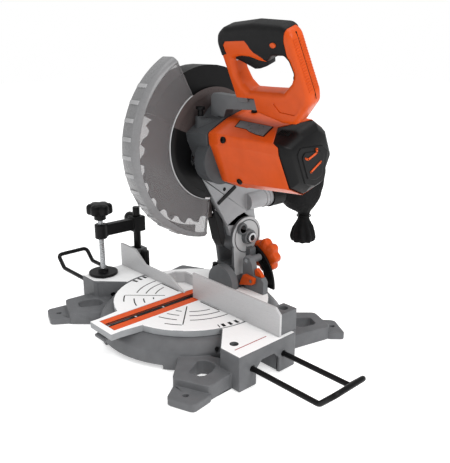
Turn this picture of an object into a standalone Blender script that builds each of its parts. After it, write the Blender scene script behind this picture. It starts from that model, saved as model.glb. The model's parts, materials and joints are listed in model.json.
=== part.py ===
"""Compound mitre saw with a 210 mm blade, built as separate pieces on their real joint axes.

Units are metres and +Z is up. While it is built, the origin is the centre of the turntable on
the table surface, +X is the saw's right and -Y is the operator. At the end the root empty moves
everything so that the origin lies at the bottom centre of the whole saw.
"""
import math

import bmesh
import bpy
from mathutils import Vector

# Clearances shared by all pieces
GAP = 0.0003
RUNNING_GAP = 0.0004
OVERRUN = 0.002

# Base casting
TABLE_HEIGHT = 0.051
TURNTABLE_RADIUS = 0.123
TURNTABLE_THICKNESS = 0.010
RING_SEAT_INNER = 0.118
SKIRT_RADIUS = 0.146
SKIRT_WALL = 0.006
LEDGE_RADIUS = 0.134
LEDGE_DROP = 0.0025
LEDGE_SLOPE = 0.010
BLOCK_HALF_SPAN = 0.197
BLOCK_FRONT = 0.083
BLOCK_BACK = 0.026
BLOCK_INNER_FRONT = 0.044
BLOCK_CORNER_X = 0.160
BLOCK_WALL = 0.005
BLOCK_POCKET_X = 0.150
ARCH_HEIGHT = 0.033
ARCH_FRONT = 0.051
ARCH_BACK = 0.006
ARCH_CORNER = 0.010
LEG_HEIGHT = 0.022
FOOT_HEIGHT = 0.011
FOOT_HOLE_RADIUS = 0.004
NOTCH_HEIGHT = 0.006
NOTCH_START_DEG = 257.0
NOTCH_END_DEG = 304.0
HUB_RADIUS = 0.022
HUB_THICKNESS = 0.0085
RIB_HALF_WIDTH = 0.004
RIB_HEIGHT = 0.005
PIVOT_BOLT_RADIUS = 0.005
PIVOT_HEAD_RADIUS = 0.008
PIVOT_HEAD_HEIGHT = 0.0045
PIVOT_NUT_HEIGHT = 0.0065
LEG_REACH = 0.1
FRONT_LEG_BODY_SHARES = ((0.84, -0.90), (1.36, -1.46), (1.85, -1.25), (1.80, -0.70), (1.50, -0.60))
FRONT_LEG_FOOT_SHARES = ((1.34, -1.40), (1.54, -1.70), (1.92, -1.56), (1.87, -1.20))
FRONT_LEG_HOLE_SHARES = ((1.24, -0.91), (1.34, -0.82), (1.50, -0.81), (1.60, -0.97), (1.60, -1.15),
                         (1.41, -1.23))
FRONT_FOOT_HOLE_SHARE = (1.66, -1.48)
BACK_LEG_BODY_SHARES = ((0.90, 1.00), (1.34, 1.47), (1.82, 1.26), (1.66, 0.58), (1.40, 0.40))
BACK_LEG_FOOT_SHARES = ((1.32, 1.43), (1.60, 1.66), (2.00, 1.41), (1.82, 1.22))
BACK_LEG_HOLE_SHARES = ((1.24, 1.06), (1.41, 1.27), (1.62, 1.16), (1.55, 0.90), (1.42, 0.86))
BACK_FOOT_HOLE_SHARE = (1.70, 1.46)

# Extension wires
WIRE_RADIUS = 0.00375
WIRE_FRONT_Y = -0.059
WIRE_BACK_Y = 0.002
WIRE_Z = -0.024
WIRE_INNER_X = 0.140
WIRE_TRAVEL = 0.044
WIRE_KNEE_X = 0.309
WIRE_OUTER_X = 0.330
WIRE_BEND = 0.009

# Fence
FENCE_FRONT_Y = -0.003
FENCE_THICKNESS = 0.004
FENCE_HEIGHT = 0.042
FENCE_LIFT = 0.0004
FENCE_RIGHT_START = 0.007
FENCE_RIGHT_END = 0.193
FENCE_CHAMFER = 0.009
FENCE_LEFT_REACH = 0.196
FENCE_LEFT_SHARES = ((-1.0, 0.0), (-1.0, 1.0), (-0.77, 0.976), (-0.622, 0.476), (-0.276, 0.452),
                     (-0.082, 0.0))
BRIDGE_BACK_Y = 0.032
BRIDGE_CORNER = 0.013
BRIDGE_THICKNESS = 0.004
BRIDGE_HEIGHT = 0.018
BRIDGE_LEFT_X = -0.066
BRIDGE_RIGHT_X = 0.050
FLANGE_INNER_X = 0.127
FLANGE_DEPTH = 0.0085
FLANGE_HEIGHT = 0.005
FENCE_BOLT_X = 0.145
FENCE_BOLT_RADIUS = 0.0025
FENCE_BOLT_HEAD = 0.0038
FENCE_BOLT_LENGTH = 0.016
TABLE_HOLE_X = 0.1636
TABLE_HOLE_Y = -0.061
TABLE_HOLE_RADIUS = 0.005
SOCKET_INNER_X = 0.166
SOCKET_OUTER_X = 0.191
SOCKET_BACK = 0.034
SOCKET_HEIGHT = 0.032
POST_X = 0.177
POST_Y = 0.021

# Clamp
POST_RADIUS = 0.0065
POST_TOP = 0.109
POST_DEPTH = 0.045
CLAMP_AXIS_X = -0.180
CLAMP_AXIS_Y = -0.051
CLAMP_ARM_BOTTOM = 0.069
CLAMP_ARM_TOP = 0.089
CLAMP_ARM_HALF_WIDTH = 0.007
CLAMP_EYE_RADIUS = 0.0105
CLAMP_COLLAR_HALF = 0.0115
CLAMP_SCREW_RADIUS = 0.0045
CLAMP_SCREW_BOTTOM = 0.0095
CLAMP_PAD_RADIUS = 0.025
CLAMP_PAD_HEIGHT = 0.005
CLAMP_PAD_HUB = 0.009
CLAMP_NECK_BOTTOM = 0.099
CLAMP_NECK_RADIUS = 0.010
CLAMP_KNOB_BOTTOM = 0.109
CLAMP_KNOB_TOP = 0.127
CLAMP_KNOB_RADIUS = 0.022
CLAMP_KNOB_LOBES = 6
ARM_KNOB_Z = 0.085
ARM_KNOB_RADIUS = 0.008
ARM_KNOB_LENGTH = 0.014
ARM_KNOB_SHANK = 0.003
ARM_KNOB_REACH = 0.006
POST_KNOB_X = -0.152
POST_KNOB_Y = 0.0185
POST_KNOB_HEIGHT = 0.034
POST_KNOB_RADIUS = 0.0075
POST_KNOB_BOSS = 0.008

# Turntable
ARM_TIP_Y = -0.168
ARM_TIP_HALF_WIDTH = 0.028
ARM_ROOT_Y = -0.108
ARM_ROOT_HALF_WIDTH = 0.034
KERF_HALF_WIDTH = 0.0196
KERF_FRONT_Y = -0.157
KERF_BACK_Y = 0.018
BOARD_THICKNESS = 0.0025
SLOT_HALF_WIDTH = 0.0035
SLOT_RELIEF = 0.006
LEDGE_HALF_WIDTH = 0.012
SLOT_DEPTH = 0.0075
SLOT_FRONT_Y = -0.150
SLOT_BACK_Y = 0.014
TROUGH_DEPTH = 0.027
TROUGH_WALL = 0.0025
TROUGH_REACH = 0.114
TROUGH_SHARES = ((-0.21, 0.167), (-0.21, -0.84), (-0.07, -1.0), (0.07, -1.0), (0.21, -0.86), (0.21, 0.167))
TROUGH_OUTER_SHARES = ((-0.232, 0.19), (-0.232, -0.853), (-0.078, -1.021), (0.078, -1.021), (0.232, -0.871),
                       (0.232, 0.19))
LATCH_HALF_WIDTH = 0.012
LATCH_PIVOT_Y = -0.150
LATCH_THICKNESS = 0.004
LATCH_LIP = 0.006
LATCH_EAR_DROP = 0.007
LATCH_PIN_RADIUS = 0.0015
BOSS_RADIUS = 0.030
BOSS_LIFT = 0.005
BOSS_FRONT_Y = 0.062
BOSS_BACK_Y = 0.0757
BEVEL_PIN_RADIUS = 0.008
BEVEL_PIN_BACK_Y = 0.0955
STOP_SCREW_X = -0.020
STOP_SCREW_Y = 0.069
STOP_SCREW_SEAT = 0.0285
STOP_SCREW_HEAD = 0.0055
STOP_SCREW_BOSS = 0.0055
STOP_SCREW_HEAD_RADIUS = 0.0045
STOP_SCREW_RADIUS = 0.0025
STOP_SCREW_BOTTOM = 0.014
SUPPORT_FRONT_Y = 0.086
SUPPORT_BACK_Y = 0.097
SUPPORT_REACH = 0.076
SUPPORT_SHARES = ((0.42, -0.06), (1.0, -0.06), (1.0, 0.27), (0.93, 0.35), (0.72, 0.355), (0.66, 0.58),
                  (0.58, 0.71), (0.46, 0.74), (0.385, 0.66), (0.37, 0.355), (0.40, 0.1))
STUD_RADIUS = 0.004
STUD_ORBIT = 0.060
STUD_ANGLE_DEG = 52.0
SPACER_RADIUS = 0.006
SCALE_FRONT_Y = 0.1179
SCALE_THICKNESS = 0.004
SCALE_INNER = 0.050
SCALE_OUTER = 0.069
SCALE_SLOT_HALF = 0.0044
SCALE_START_DEG = -2.0
SCALE_END_DEG = 68.0
SCALE_SLOT_START_DEG = 2.0
SCALE_SLOT_END_DEG = 57.0
KNOB_FRONT_Y = 0.1375
KNOB_THICKNESS = 0.0165
KNOB_RADIUS = 0.0285
KNOB_LOBES = 8
KNOB_HUB_RADIUS = 0.010
STOP_LEVER_REACH = 0.061
STOP_LEVER_SHARES = ((0.46, 0.10), (0.62, 0.44), (1.0, 0.41), (0.97, 0.23))
STOP_LEVER_PIVOT_SHARE = (0.90, 0.32)
STOP_LEVER_PIN_RADIUS = 0.0025
POINTER_REACH = 0.074
POINTER_SHARES = ((0.755, 0.369), (0.955, 0.369), (0.90, 0.45), (0.78, 0.54), (0.735, 0.49))

# Tilt arm
HEAD_PIVOT_Y = 0.106
HEAD_PIVOT_Z = 0.082
TILT_HUB_RADIUS = 0.026
TILT_HUB_BACK_Y = 0.097
RIGHT_CHEEK_INNER = 0.012
RIGHT_CHEEK_OUTER = 0.018
LEFT_CHEEK_INNER = -0.0198
LEFT_CHEEK_OUTER = -0.026
RIGHT_LUG_RADIUS = 0.033
LEFT_LUG_RADIUS = 0.036
CHEEK_REACH = 0.1
RIGHT_CHEEK_SHARES = ((0.79, 0.16), (0.77, 0.50), (0.76, 0.68), (1.06, 0.82), (1.33, 0.68), (1.24, 0.16))
LEFT_CHEEK_SHARES = ((0.80, 0.29), (0.75, 0.62), (0.64, 0.90), (0.80, 1.06), (1.06, 0.90), (1.38, 0.72),
                     (1.24, 0.29))
WEB_FRONT_Y = 0.078
WEB_BACK_Y = 0.124
WEB_TOP = 0.034
WEB_BOTTOM = 0.0025
SHAFT_RADIUS = 0.008
SHAFT_RIGHT_END = 0.031
SHAFT_LEFT_END = -0.030
SHAFT_BOSS_RADIUS = 0.0125
SHAFT_BOSS_END = 0.027
PIN_OFFSET_Y = -0.0135
PIN_OFFSET_Z = 0.016
PIN_HEAD_RADIUS = 0.0058
PIN_TIP_RADIUS = 0.004
PIN_BOSS_RADIUS = 0.0095
PIN_BOSS_END = 0.024
PIN_TRAVEL = 0.0035
SPRING_RADIUS = 0.0118
SPRING_WIRE = 0.0008
SPRING_TURNS = 2.25
SPRING_POINTS = 12
SCALE_RIB_FRONT_Y = 0.104
SCALE_RIB_BOTTOM = 0.046
SCALE_RIB_TOP = 0.062
SCALE_RIB_END = 0.028
CHOP_RANGE_DEG = 57.5

# Saw head casting
ARBOR_Y = 0.016
ARBOR_Z = 0.225
HEAD_HUB_RADIUS = 0.030
HEAD_HUB_LEFT = -0.012
HEAD_HUB_RIGHT = 0.0117
HEAD_REACH = 0.1
ARM_SHARES = ((0.15, 1.91), (0.69, 1.02), (0.84, 0.66), (1.06, 0.82), (1.34, 0.95), (1.28, 1.28),
              (1.44, 1.53),
              (1.10, 1.74), (0.95, 2.00), (0.60, 2.05))
ARM_FACE_SHARES = ((0.15, 1.91), (0.66, 1.07), (0.88, 1.18), (1.28, 1.28), (1.44, 1.53), (1.10, 1.74),
                   (0.95, 2.00),
                   (0.60, 2.05))
ARM_LEFT = 0.003
ARM_FACE = 0.014
CASE_LEFT = 0.0125
CASE_RIGHT = 0.0545
CASE_LEFT_SHARES = ((-0.16, 2.63), (-0.14, 2.53), (0.17, 1.89), (0.60, 1.78), (0.98, 1.92), (1.04, 2.30),
                    (0.86, 2.85), (0.60, 3.05), (0.46, 3.12), (0.14, 2.82))
CASE_RIGHT_SHARES = ((-0.13, 2.67), (-0.12, 2.53), (0.12, 1.94), (0.55, 1.80), (1.02, 1.97), (1.14, 2.40),
                     (0.94, 2.84), (0.66, 2.99), (0.52, 3.00), (0.27, 2.88))
GEAR_ROOM_LEFT = 0.036
GEAR_WALL = 0.0025
ARBOR_BEARING_RADIUS = 0.0150
ARBOR_BEARING_LEFT = 0.026
BRACKET_FRONT_Y = 0.022
BRACKET_BACK_Y = 0.038
BRACKET_REACH = 0.126
BRACKET_SHARES = ((0.20, 2.27), (0.42, 2.27), (0.46, 2.36), (1.0, 2.39), (1.0, 2.495), (0.24, 2.53),
                  (0.20, 2.49))
PORT_X = 0.012
PORT_Z = 0.139
PORT_RADIUS = 0.0145
PORT_WALL = 0.0025
PORT_FRONT_Y = 0.108
PORT_BACK_Y = 0.172

# Blade and what turns with it
BLADE_RADIUS = 0.105
BLADE_ROOT = 0.097
BLADE_HALF_THICKNESS = 0.0011
BLADE_TEETH = 24
BLADE_BORE = 0.008
FLANGE_RADIUS = 0.020
FLANGE_THICKNESS = 0.0042
ARBOR_RADIUS = 0.008
ARBOR_END = 0.0520
ARBOR_BOLT_RADIUS = 0.003
ARBOR_BOLT_HEAD = 0.0068
ARBOR_BOLT_HEIGHT = 0.006
GEAR_TEETH = 37
PINION_TEETH = 15
GEAR_LEFT = 0.038
GEAR_RIGHT = 0.047
TOOTH_REACH = 0.0008
MOTOR_Y = 0.055
MOTOR_Z = 0.241

# Blade guards
GUARD_Y = 0.041
GUARD_Z = 0.241
GUARD_RADIUS = 0.146
GUARD_RIM = 0.003
GUARD_BORE = 0.0822
GUARD_PLATE_LEFT = 0.009
GUARD_PLATE_RIGHT = 0.012
GUARD_LEFT = -0.020
GUARD_LIP = 0.014
GUARD_START_DEG = 119.0
GUARD_END_DEG = 263.0
GUARD_RIBS = 13
GUARD_STEPS = 28
GUARD_RIB_HEIGHT = 0.0015
GUARD_RIB_LENGTH = 0.009
RETAINER_INNER = 0.0735
RETAINER_OUTER = 0.0845
RETAINER_THICKNESS = 0.0014
RETAINER_START_DEG = -15.0
RETAINER_END_DEG = 255.0
HOOD_Y = 0.035
HOOD_Z = 0.238
HOOD_RADIUS = 0.119
HOOD_WALL = 0.0032
HOOD_START_DEG = 28.0
HOOD_END_DEG = 152.0
HOOD_LEFT = -0.030
HOOD_PLATE_LEFT = 0.0052
HOOD_PLATE_RIGHT = 0.0085
HOOD_PLATE_INNER = 0.060
CHUTE_LEFT = -0.012
CHUTE_RIGHT = 0.0088
CHUTE_REACH = 0.1
CHUTE_SHARES = ((0.39, 1.44), (0.55, 0.82), (0.62, 0.70), (0.66, 0.86), (0.60, 1.16))

# Motor
HOUSING_LEFT = 0.0548
HOUSING_RIGHT = 0.138
HOUSING_REACH = 0.057
HOUSING_SHARES = ((-1.16, 0.46), (-1.13, 0.20), (-0.70, -0.80), (-0.10, -1.05), (0.60, -0.86), (1.02, 0.0),
                  (0.70, 0.75), (0.25, 1.02), (-0.49, 0.79))
HOUSING_END_SHARE = 0.90
HOUSING_WALL = 0.003
HOUSING_RIBS_DEG = (23.0, 107.0, 203.0, 285.0)
HOUSING_RIB_HALF_DEG = 4.0
CAP_MIDDLE = 0.166
CAP_RIGHT = 0.190
CAP_MIDDLE_SHARE = 0.84
CAP_END_SHARE = 0.68
CAP_ROOM_END = 0.155
STATOR_RADIUS = 0.036
STATOR_BORE = 0.0195
STATOR_LEFT = 0.078
STATOR_RIGHT = 0.118
ARMATURE_RADIUS = 0.0185
COMMUTATOR_RADIUS = 0.011
COMMUTATOR_LEFT = 0.134
COMMUTATOR_RIGHT = 0.146
MOTOR_SHAFT_RADIUS = 0.004
MOTOR_SHAFT_LEFT = 0.036
MOTOR_SHAFT_RIGHT = 0.166
FAN_RADIUS = 0.031
FAN_LEFT = 0.064
FAN_THICKNESS = 0.006
MOTOR_BEARING_RADIUS = 0.010
MOTOR_BEARING_LEFT = 0.0555
MOTOR_BEARING_THICKNESS = 0.006
REAR_BEARING_LEFT = 0.156

# Handle
LEAN_DEG = 20.0
HANDLE_Y = 0.0295
HANDLE_Z = 0.2946
HANDLE_HALF_DEPTH = 0.017
HANDLE_REACH = 0.1
HANDLE_EDGE = 0.004
HANDLE_SEAT_Z = 0.3173
HANDLE_SEAT_X = 0.1275
HANDLE_OUTER_SHARES = ((0.76, 0.10), (0.73, 1.06), (0.78, 1.15), (0.92, 1.20), (1.48, 1.235), (2.04, 1.19),
                       (2.17, 1.10), (2.27, 0.38), (2.25, 0.26), (1.92, -0.04), (1.66, -0.04), (1.24, 0.08))
HANDLE_OPENING_SHARES = ((1.05, 0.70), (1.58, 0.84), (1.91, 0.84), (2.00, 0.62), (1.89, 0.46), (1.74, 0.39),
                         (1.18, 0.39), (1.08, 0.48))
TONGUE_SHARES = ((0.86, 0.18), (1.04, 0.18), (1.04, 0.42), (0.86, 0.42))
TONGUE_HALF_DEPTH = 0.005
TRIGGER_SHARES = ((1.02, 0.74), (1.20, 0.672), (1.33, 0.648), (1.46, 0.672), (1.58, 0.725), (1.60, 0.80),
                  (1.56, 0.87), (1.06, 0.87))
TRIGGER_PIVOT_SHARE = (1.08, 0.80)
TRIGGER_SLOT_SHARES = ((0.99, 0.72), (1.17, 0.655), (1.17, 0.60), (1.64, 0.60), (1.64, 0.95), (1.0, 0.95))
TRIGGER_HALF_DEPTH = 0.008
TRIGGER_PIN_RADIUS = 0.002
SWITCH_SHARES = ((1.05, 0.94), (1.50, 0.94), (1.50, 1.04), (1.05, 1.02))
SWITCH_HALF_DEPTH = 0.0075
LOCK_SHARE = (1.82, 1.01)
LOCK_RADIUS = 0.0042
LOCK_TRAVEL = 0.0022
LOCK_LENGTH = 0.010
LOCK_PROUD = 0.0025

# Dust bag
COLLAR_RADIUS = 0.0175
COLLAR_FRONT_Y = 0.160
COLLAR_BACK_Y = 0.188
BAG_X = 0.016
BAG_HALF_WIDTH = 0.031
BAG_CENTRE_Y = 0.245
BAG_CENTRE_Z = 0.152
BAG_REACH = 0.1
BAG_SHARES = ((-0.56, 0.02), (-0.44, 0.30), (-0.15, 0.48), (0.20, 0.54), (0.38, 0.50), (0.46, 0.32),
              (0.40, -0.08),
              (0.28, -0.40), (0.14, -0.54), (0.04, -0.60), (-0.06, -0.58), (-0.20, -0.52), (-0.40, -0.36),
              (-0.56, -0.21))
BAG_WIDTH_SHARES = ((-1.0, 0.42), (-0.86, 0.72), (-0.5, 0.93), (0.0, 1.0), (0.5, 0.93), (0.86, 0.72),
                    (1.0, 0.42))
BAG_CORNER_SHARE = 0.1
BAG_MOUTH_RADIUS = 0.019
BAG_MOUTH_LENGTH = 0.030
BAG_TAIL_Y = 0.252
BAG_TAIL_BOTTOM = 0.041
BAG_TAIL_LENGTH = 0.060
BAG_TAIL_RADIUS = 0.024
BAG_TAIL_SHARES = ((0.0, 0.88), (0.16, 1.0), (0.42, 0.84), (0.66, 0.50), (0.80, 0.42), (1.0, 0.62))
TIE_RADIUS = 0.0115
TIE_WIRE = 0.0009

# Spindle lock
SPINDLE_LOCK_X = 0.0255
SPINDLE_LOCK_Y = 0.002
SPINDLE_LOCK_RADIUS = 0.0042
SPINDLE_LOCK_BOTTOM = 0.279
SPINDLE_LOCK_TOP = 0.3005
SPINDLE_LOCK_TRAVEL = 0.003
SPINDLE_BOSS_RADIUS = 0.0075
SPINDLE_BOSS_BOTTOM = 0.262
SPINDLE_BOSS_TOP = 0.287

ROUND = 28
MEDIUM_ROUND = 18
SMALL_ROUND = 12
FINE_ROUND = 52

AXIS_SLOTS = {"x": (1, 2, 0), "y": (0, 2, 1), "z": (0, 1, 2)}

COLOURS = {
    "cast_grey": ((0.205, 0.205, 0.205, 1), 0.45, 0.55),
    "table_white": ((0.80, 0.80, 0.80, 1), 0.40, 0.0),
    "fence_steel": ((0.72, 0.72, 0.72, 1), 0.35, 0.8),
    "steel": ((0.55, 0.55, 0.55, 1), 0.30, 1.0),
    "head_silver": ((0.30, 0.30, 0.31, 1), 0.38, 0.6),
    "black_plastic": ((0.012, 0.012, 0.012, 1), 0.45, 0.0),
    "orange_plastic": ((0.86, 0.13, 0.02, 1), 0.40, 0.0),
    "guard_grey": ((0.32, 0.32, 0.33, 1), 0.25, 0.0),
    "copper": ((0.60, 0.25, 0.10, 1), 0.35, 1.0),
    "bag_black": ((0.010, 0.010, 0.010, 1), 0.85, 0.0),
}


def placed(axis, u, v, along):
    """Point whose two outline values and place along an axis are put where that axis wants them."""
    point = [0.0, 0.0, 0.0]
    for slot, value in zip(AXIS_SLOTS[axis], (u, v, along)):
        point[slot] = value
    return Vector(point)


def scaled(shares, reach, centre=(0.0, 0.0)):
    return [(centre[0] + u * reach, centre[1] + v * reach) for u, v in shares]


def mirrored_outline(outline):
    return [(-u, v) for u, v in outline]


def arc(centre, radius, start_deg, end_deg, steps):
    angles = [math.radians(start_deg + (end_deg - start_deg) * i / steps) for i in range(steps + 1)]
    return [(centre[0] + radius * math.cos(a), centre[1] + radius * math.sin(a)) for a in angles]


def circle(centre, radius, steps=ROUND):
    """Circle that starts half a step round, so that no point lies straight above or beside the centre."""
    half = 180.0 / steps
    return arc(centre, radius, half, half + 360.0, steps)[:-1]


def sector(centre, inner, outer, start_deg, end_deg, steps):
    return arc(centre, outer, start_deg, end_deg, steps) + arc(centre, inner, end_deg, start_deg, steps)


def rectangle(low_u, high_u, low_v, high_v):
    return [(low_u, low_v), (high_u, low_v), (high_u, high_v), (low_u, high_v)]


def filleted(outline, radius, steps=3):
    """Outline with each corner rounded, by less where its sides are short."""
    points = []
    count = len(outline)
    for i, corner in enumerate(outline):
        here = Vector(corner)
        before = Vector(outline[i - 1]) - here
        after = Vector(outline[(i + 1) % count]) - here
        reach = min(radius, before.length / 2.5, after.length / 2.5)
        start = here + before.normalized() * reach
        end = here + after.normalized() * reach
        for k in range(steps + 1):
            t = k / steps
            points.append(tuple(start * (1 - t) ** 2 + here * 2 * t * (1 - t) + end * t ** 2))
    return points


def grown(outline, distance):
    """Outline with each side moved outwards by a distance, or inwards by a negative one."""
    area = sum(a[0] * b[1] - a[1] * b[0] for a, b in zip(outline, outline[1:] + outline[:1]))
    turn = 1 if area > 0 else -1
    points = []
    for i, corner in enumerate(outline):
        here = Vector(corner)
        along = (here - Vector(outline[i - 1])).normalized()
        onward = (Vector(outline[(i + 1) % len(outline)]) - here).normalized()
        first = Vector((along.y, -along.x)) * turn
        second = Vector((onward.y, -onward.x)) * turn
        points.append(tuple(here + (first + second) * distance / (1 + first.dot(second))))
    return points


def solid_of(bm):
    bmesh.ops.recalc_face_normals(bm, faces=bm.faces)
    mesh = bpy.data.meshes.new("solid")
    bm.to_mesh(mesh)
    bm.free()
    solid = bpy.data.objects.new("solid", mesh)
    bpy.context.scene.collection.objects.link(solid)
    return solid


def loft(axis, sections):
    """Closed solid through outlines with equal numbers of points, each at its own place on the axis."""
    bm = bmesh.new()
    rings = [[bm.verts.new(placed(axis, u, v, along)) for u, v in outline] for along, outline in sections]
    for ring, following in zip(rings, rings[1:]):
        for i in range(len(ring)):
            j = (i + 1) % len(ring)
            bm.faces.new((ring[i], ring[j], following[j], following[i]))
    bm.faces.new(rings[0])
    bm.faces.new(rings[-1])
    return solid_of(bm)


def prism(axis, outline, low, high):
    return loft(axis, [(low, outline), (high, outline)])


def cylinder(axis, centre, radius, low, high, steps=ROUND):
    return prism(axis, circle(centre, radius, steps), low, high)


def block(low, high):
    return prism("z", rectangle(low[0], high[0], low[1], high[1]), low[2], high[2])


def turned(axis, centre, profile, steps=ROUND):
    """Solid of revolution: the profile is a closed loop of (radius, place along the axis)."""
    bm = bmesh.new()
    rings = []
    for radius, along in profile:
        if radius == 0:
            rings.append([bm.verts.new(placed(axis, *centre, along))] * steps)
        else:
            rings.append([bm.verts.new(placed(axis, u, v, along)) for u, v in circle(centre, radius, steps)])
    for ring, following in zip(rings, rings[1:] + rings[:1]):
        for i in range(steps):
            j = (i + 1) % steps
            corners = list(dict.fromkeys((ring[i], ring[j], following[j], following[i])))
            if len(corners) > 2:
                bm.faces.new(corners)
    return solid_of(bm)


def swept(axis, centre, profile, start_deg, end_deg, steps):
    """Part of a solid of revolution between two angles."""
    bm = bmesh.new()
    rings = []
    for i in range(steps + 1):
        angle = math.radians(start_deg + (end_deg - start_deg) * i / steps)
        rings.append([bm.verts.new(placed(axis, centre[0] + radius * math.cos(angle),
                                          centre[1] + radius * math.sin(angle), along)) for radius,
                      along in profile])
    for ring, following in zip(rings, rings[1:]):
        for i in range(len(ring)):
            j = (i + 1) % len(ring)
            bm.faces.new((ring[i], ring[j], following[j], following[i]))
    bm.faces.new(rings[0])
    bm.faces.new(rings[-1])
    return solid_of(bm)


def tube(path, radius, steps):
    """Round rod along a list of points, with flat ends."""
    bm = bmesh.new()
    rings = []
    across = (path[1] - path[0]).normalized().orthogonal()
    for i, point in enumerate(path):
        ahead = (path[min(i + 1, len(path) - 1)] - path[max(i - 1, 0)]).normalized()
        across = (across - ahead * across.dot(ahead)).normalized()
        side = ahead.cross(across)
        turns = [2 * math.pi * k / steps for k in range(steps)]
        spokes = [across * math.cos(a) + side * math.sin(a) for a in turns]
        rings.append([bm.verts.new(point + spoke * radius) for spoke in spokes])
    for ring, following in zip(rings, rings[1:]):
        for i in range(steps):
            j = (i + 1) % steps
            bm.faces.new((ring[i], ring[j], following[j], following[i]))
    bm.faces.new(rings[0])
    bm.faces.new(rings[-1])
    return solid_of(bm)


def least_gap(path, radius, apart):
    """Smallest clear distance between lengths of a rod that lie some points apart along it."""
    return min((a - b).length for i, a in enumerate(path) for b in path[i + apart:]) - 2 * radius


def combined(solid, tools, operation):
    for tool in tools:
        step = solid.modifiers.new(operation.lower(), "BOOLEAN")
        step.operation = operation
        step.solver = "EXACT"
        step.use_self = True
        step.object = tool
    graph = bpy.context.evaluated_depsgraph_get()
    made = bpy.data.meshes.new_from_object(solid.evaluated_get(graph))
    solid.modifiers.clear()
    spent = [solid.data] + [tool.data for tool in tools]
    solid.data = made
    for tool in tools:
        bpy.data.objects.remove(tool)
    for mesh in spent:
        bpy.data.meshes.remove(mesh)
    return solid


def joined(solid, *others):
    return combined(solid, others, "UNION")


def cut(solid, *tools):
    return combined(solid, tools, "DIFFERENCE")


def mirrored(solid):
    """Copy of a solid on the other side of the saw's middle plane."""
    bm = bmesh.new()
    bm.from_mesh(solid.data)
    for vert in bm.verts:
        vert.co.x = -vert.co.x
    bmesh.ops.reverse_faces(bm, faces=bm.faces)
    return solid_of(bm)


def leaned_point(across, depth, height):
    """Place in the saw of a point given in the handle's own leaning plane."""
    lean = math.radians(LEAN_DEG)
    return Vector((across, HANDLE_Y + depth * math.cos(lean) - height * math.sin(lean),
                   HANDLE_Z + height * math.cos(lean) + depth * math.sin(lean)))


def leaned(solid):
    for vert in solid.data.vertices:
        vert.co = leaned_point(*vert.co)
    return solid


def lobed(centre, inner, outer, lobes, steps=4, start_deg=0.0):
    """Knob outline whose radius swings between two values."""
    count = lobes * steps
    points = []
    for i in range(count):
        radius = (inner + outer) / 2 + (outer - inner) / 2 * math.cos(2 * math.pi * i / steps)
        angle = math.radians(start_deg) + 2 * math.pi * i / count
        points.append((centre[0] + radius * math.cos(angle), centre[1] + radius * math.sin(angle)))
    return points


BODIES = {}
SURFACES = {}


def body(name, parent, location):
    """Empty on a joint's axis, under the empty of the body that carries it."""
    empty = bpy.data.objects.new(name + "_axis", None)
    bpy.context.scene.collection.objects.link(empty)
    BODIES[name] = (empty, Vector(location))
    if parent:
        carrier, place = BODIES[parent]
        empty.parent = carrier
        empty.location = Vector(location) - place


def surface(name):
    if name not in SURFACES:
        colour, roughness, metallic = COLOURS[name]
        material = bpy.data.materials.new(name)
        material.use_nodes = True
        shader = material.node_tree.nodes["Principled BSDF"]
        shader.inputs["Base Color"].default_value = colour
        shader.inputs["Roughness"].default_value = roughness
        shader.inputs["Metallic"].default_value = metallic
        SURFACES[name] = material
    return SURFACES[name]


def piece(name, solid, colour, carrier):
    """Names a finished solid and puts it on its body, with its origin on that body's axis."""
    empty, place = BODIES[carrier]
    for vert in solid.data.vertices:
        vert.co -= place
    solid.name = name
    solid.data.name = name
    solid.data.materials.clear()
    solid.data.materials.append(surface(colour))
    solid.data.shade_smooth()
    solid.data.set_sharp_from_angle(angle=math.radians(35))
    solid.parent = empty
    return solid


def ring_casting():
    top = -TURNTABLE_THICKNESS - GAP
    ledge = top - LEDGE_DROP
    drop = ledge - LEDGE_SLOPE
    floor = -TABLE_HEIGHT + 2 * GAP
    profile = [
        (RING_SEAT_INNER, top), (TURNTABLE_RADIUS + LEDGE_DROP, top), (LEDGE_RADIUS, ledge),
        (SKIRT_RADIUS - SKIRT_WALL / 2, drop), (SKIRT_RADIUS - SKIRT_WALL / 6, drop - SKIRT_WALL / 2),
        (SKIRT_RADIUS, floor), (SKIRT_RADIUS - SKIRT_WALL, floor),
        (SKIRT_RADIUS - SKIRT_WALL, drop - SKIRT_WALL),
        (RING_SEAT_INNER, top - SKIRT_WALL),
    ]
    ring = turned("z", (0, 0), profile, FINE_ROUND)
    notch = prism("z", sector((0, 0), SKIRT_RADIUS - 2 * SKIRT_WALL, SKIRT_RADIUS + SKIRT_WALL,
                              NOTCH_START_DEG,
                              NOTCH_END_DEG, 8), floor - OVERRUN, floor + NOTCH_HEIGHT)
    return cut(ring, notch)


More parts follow.
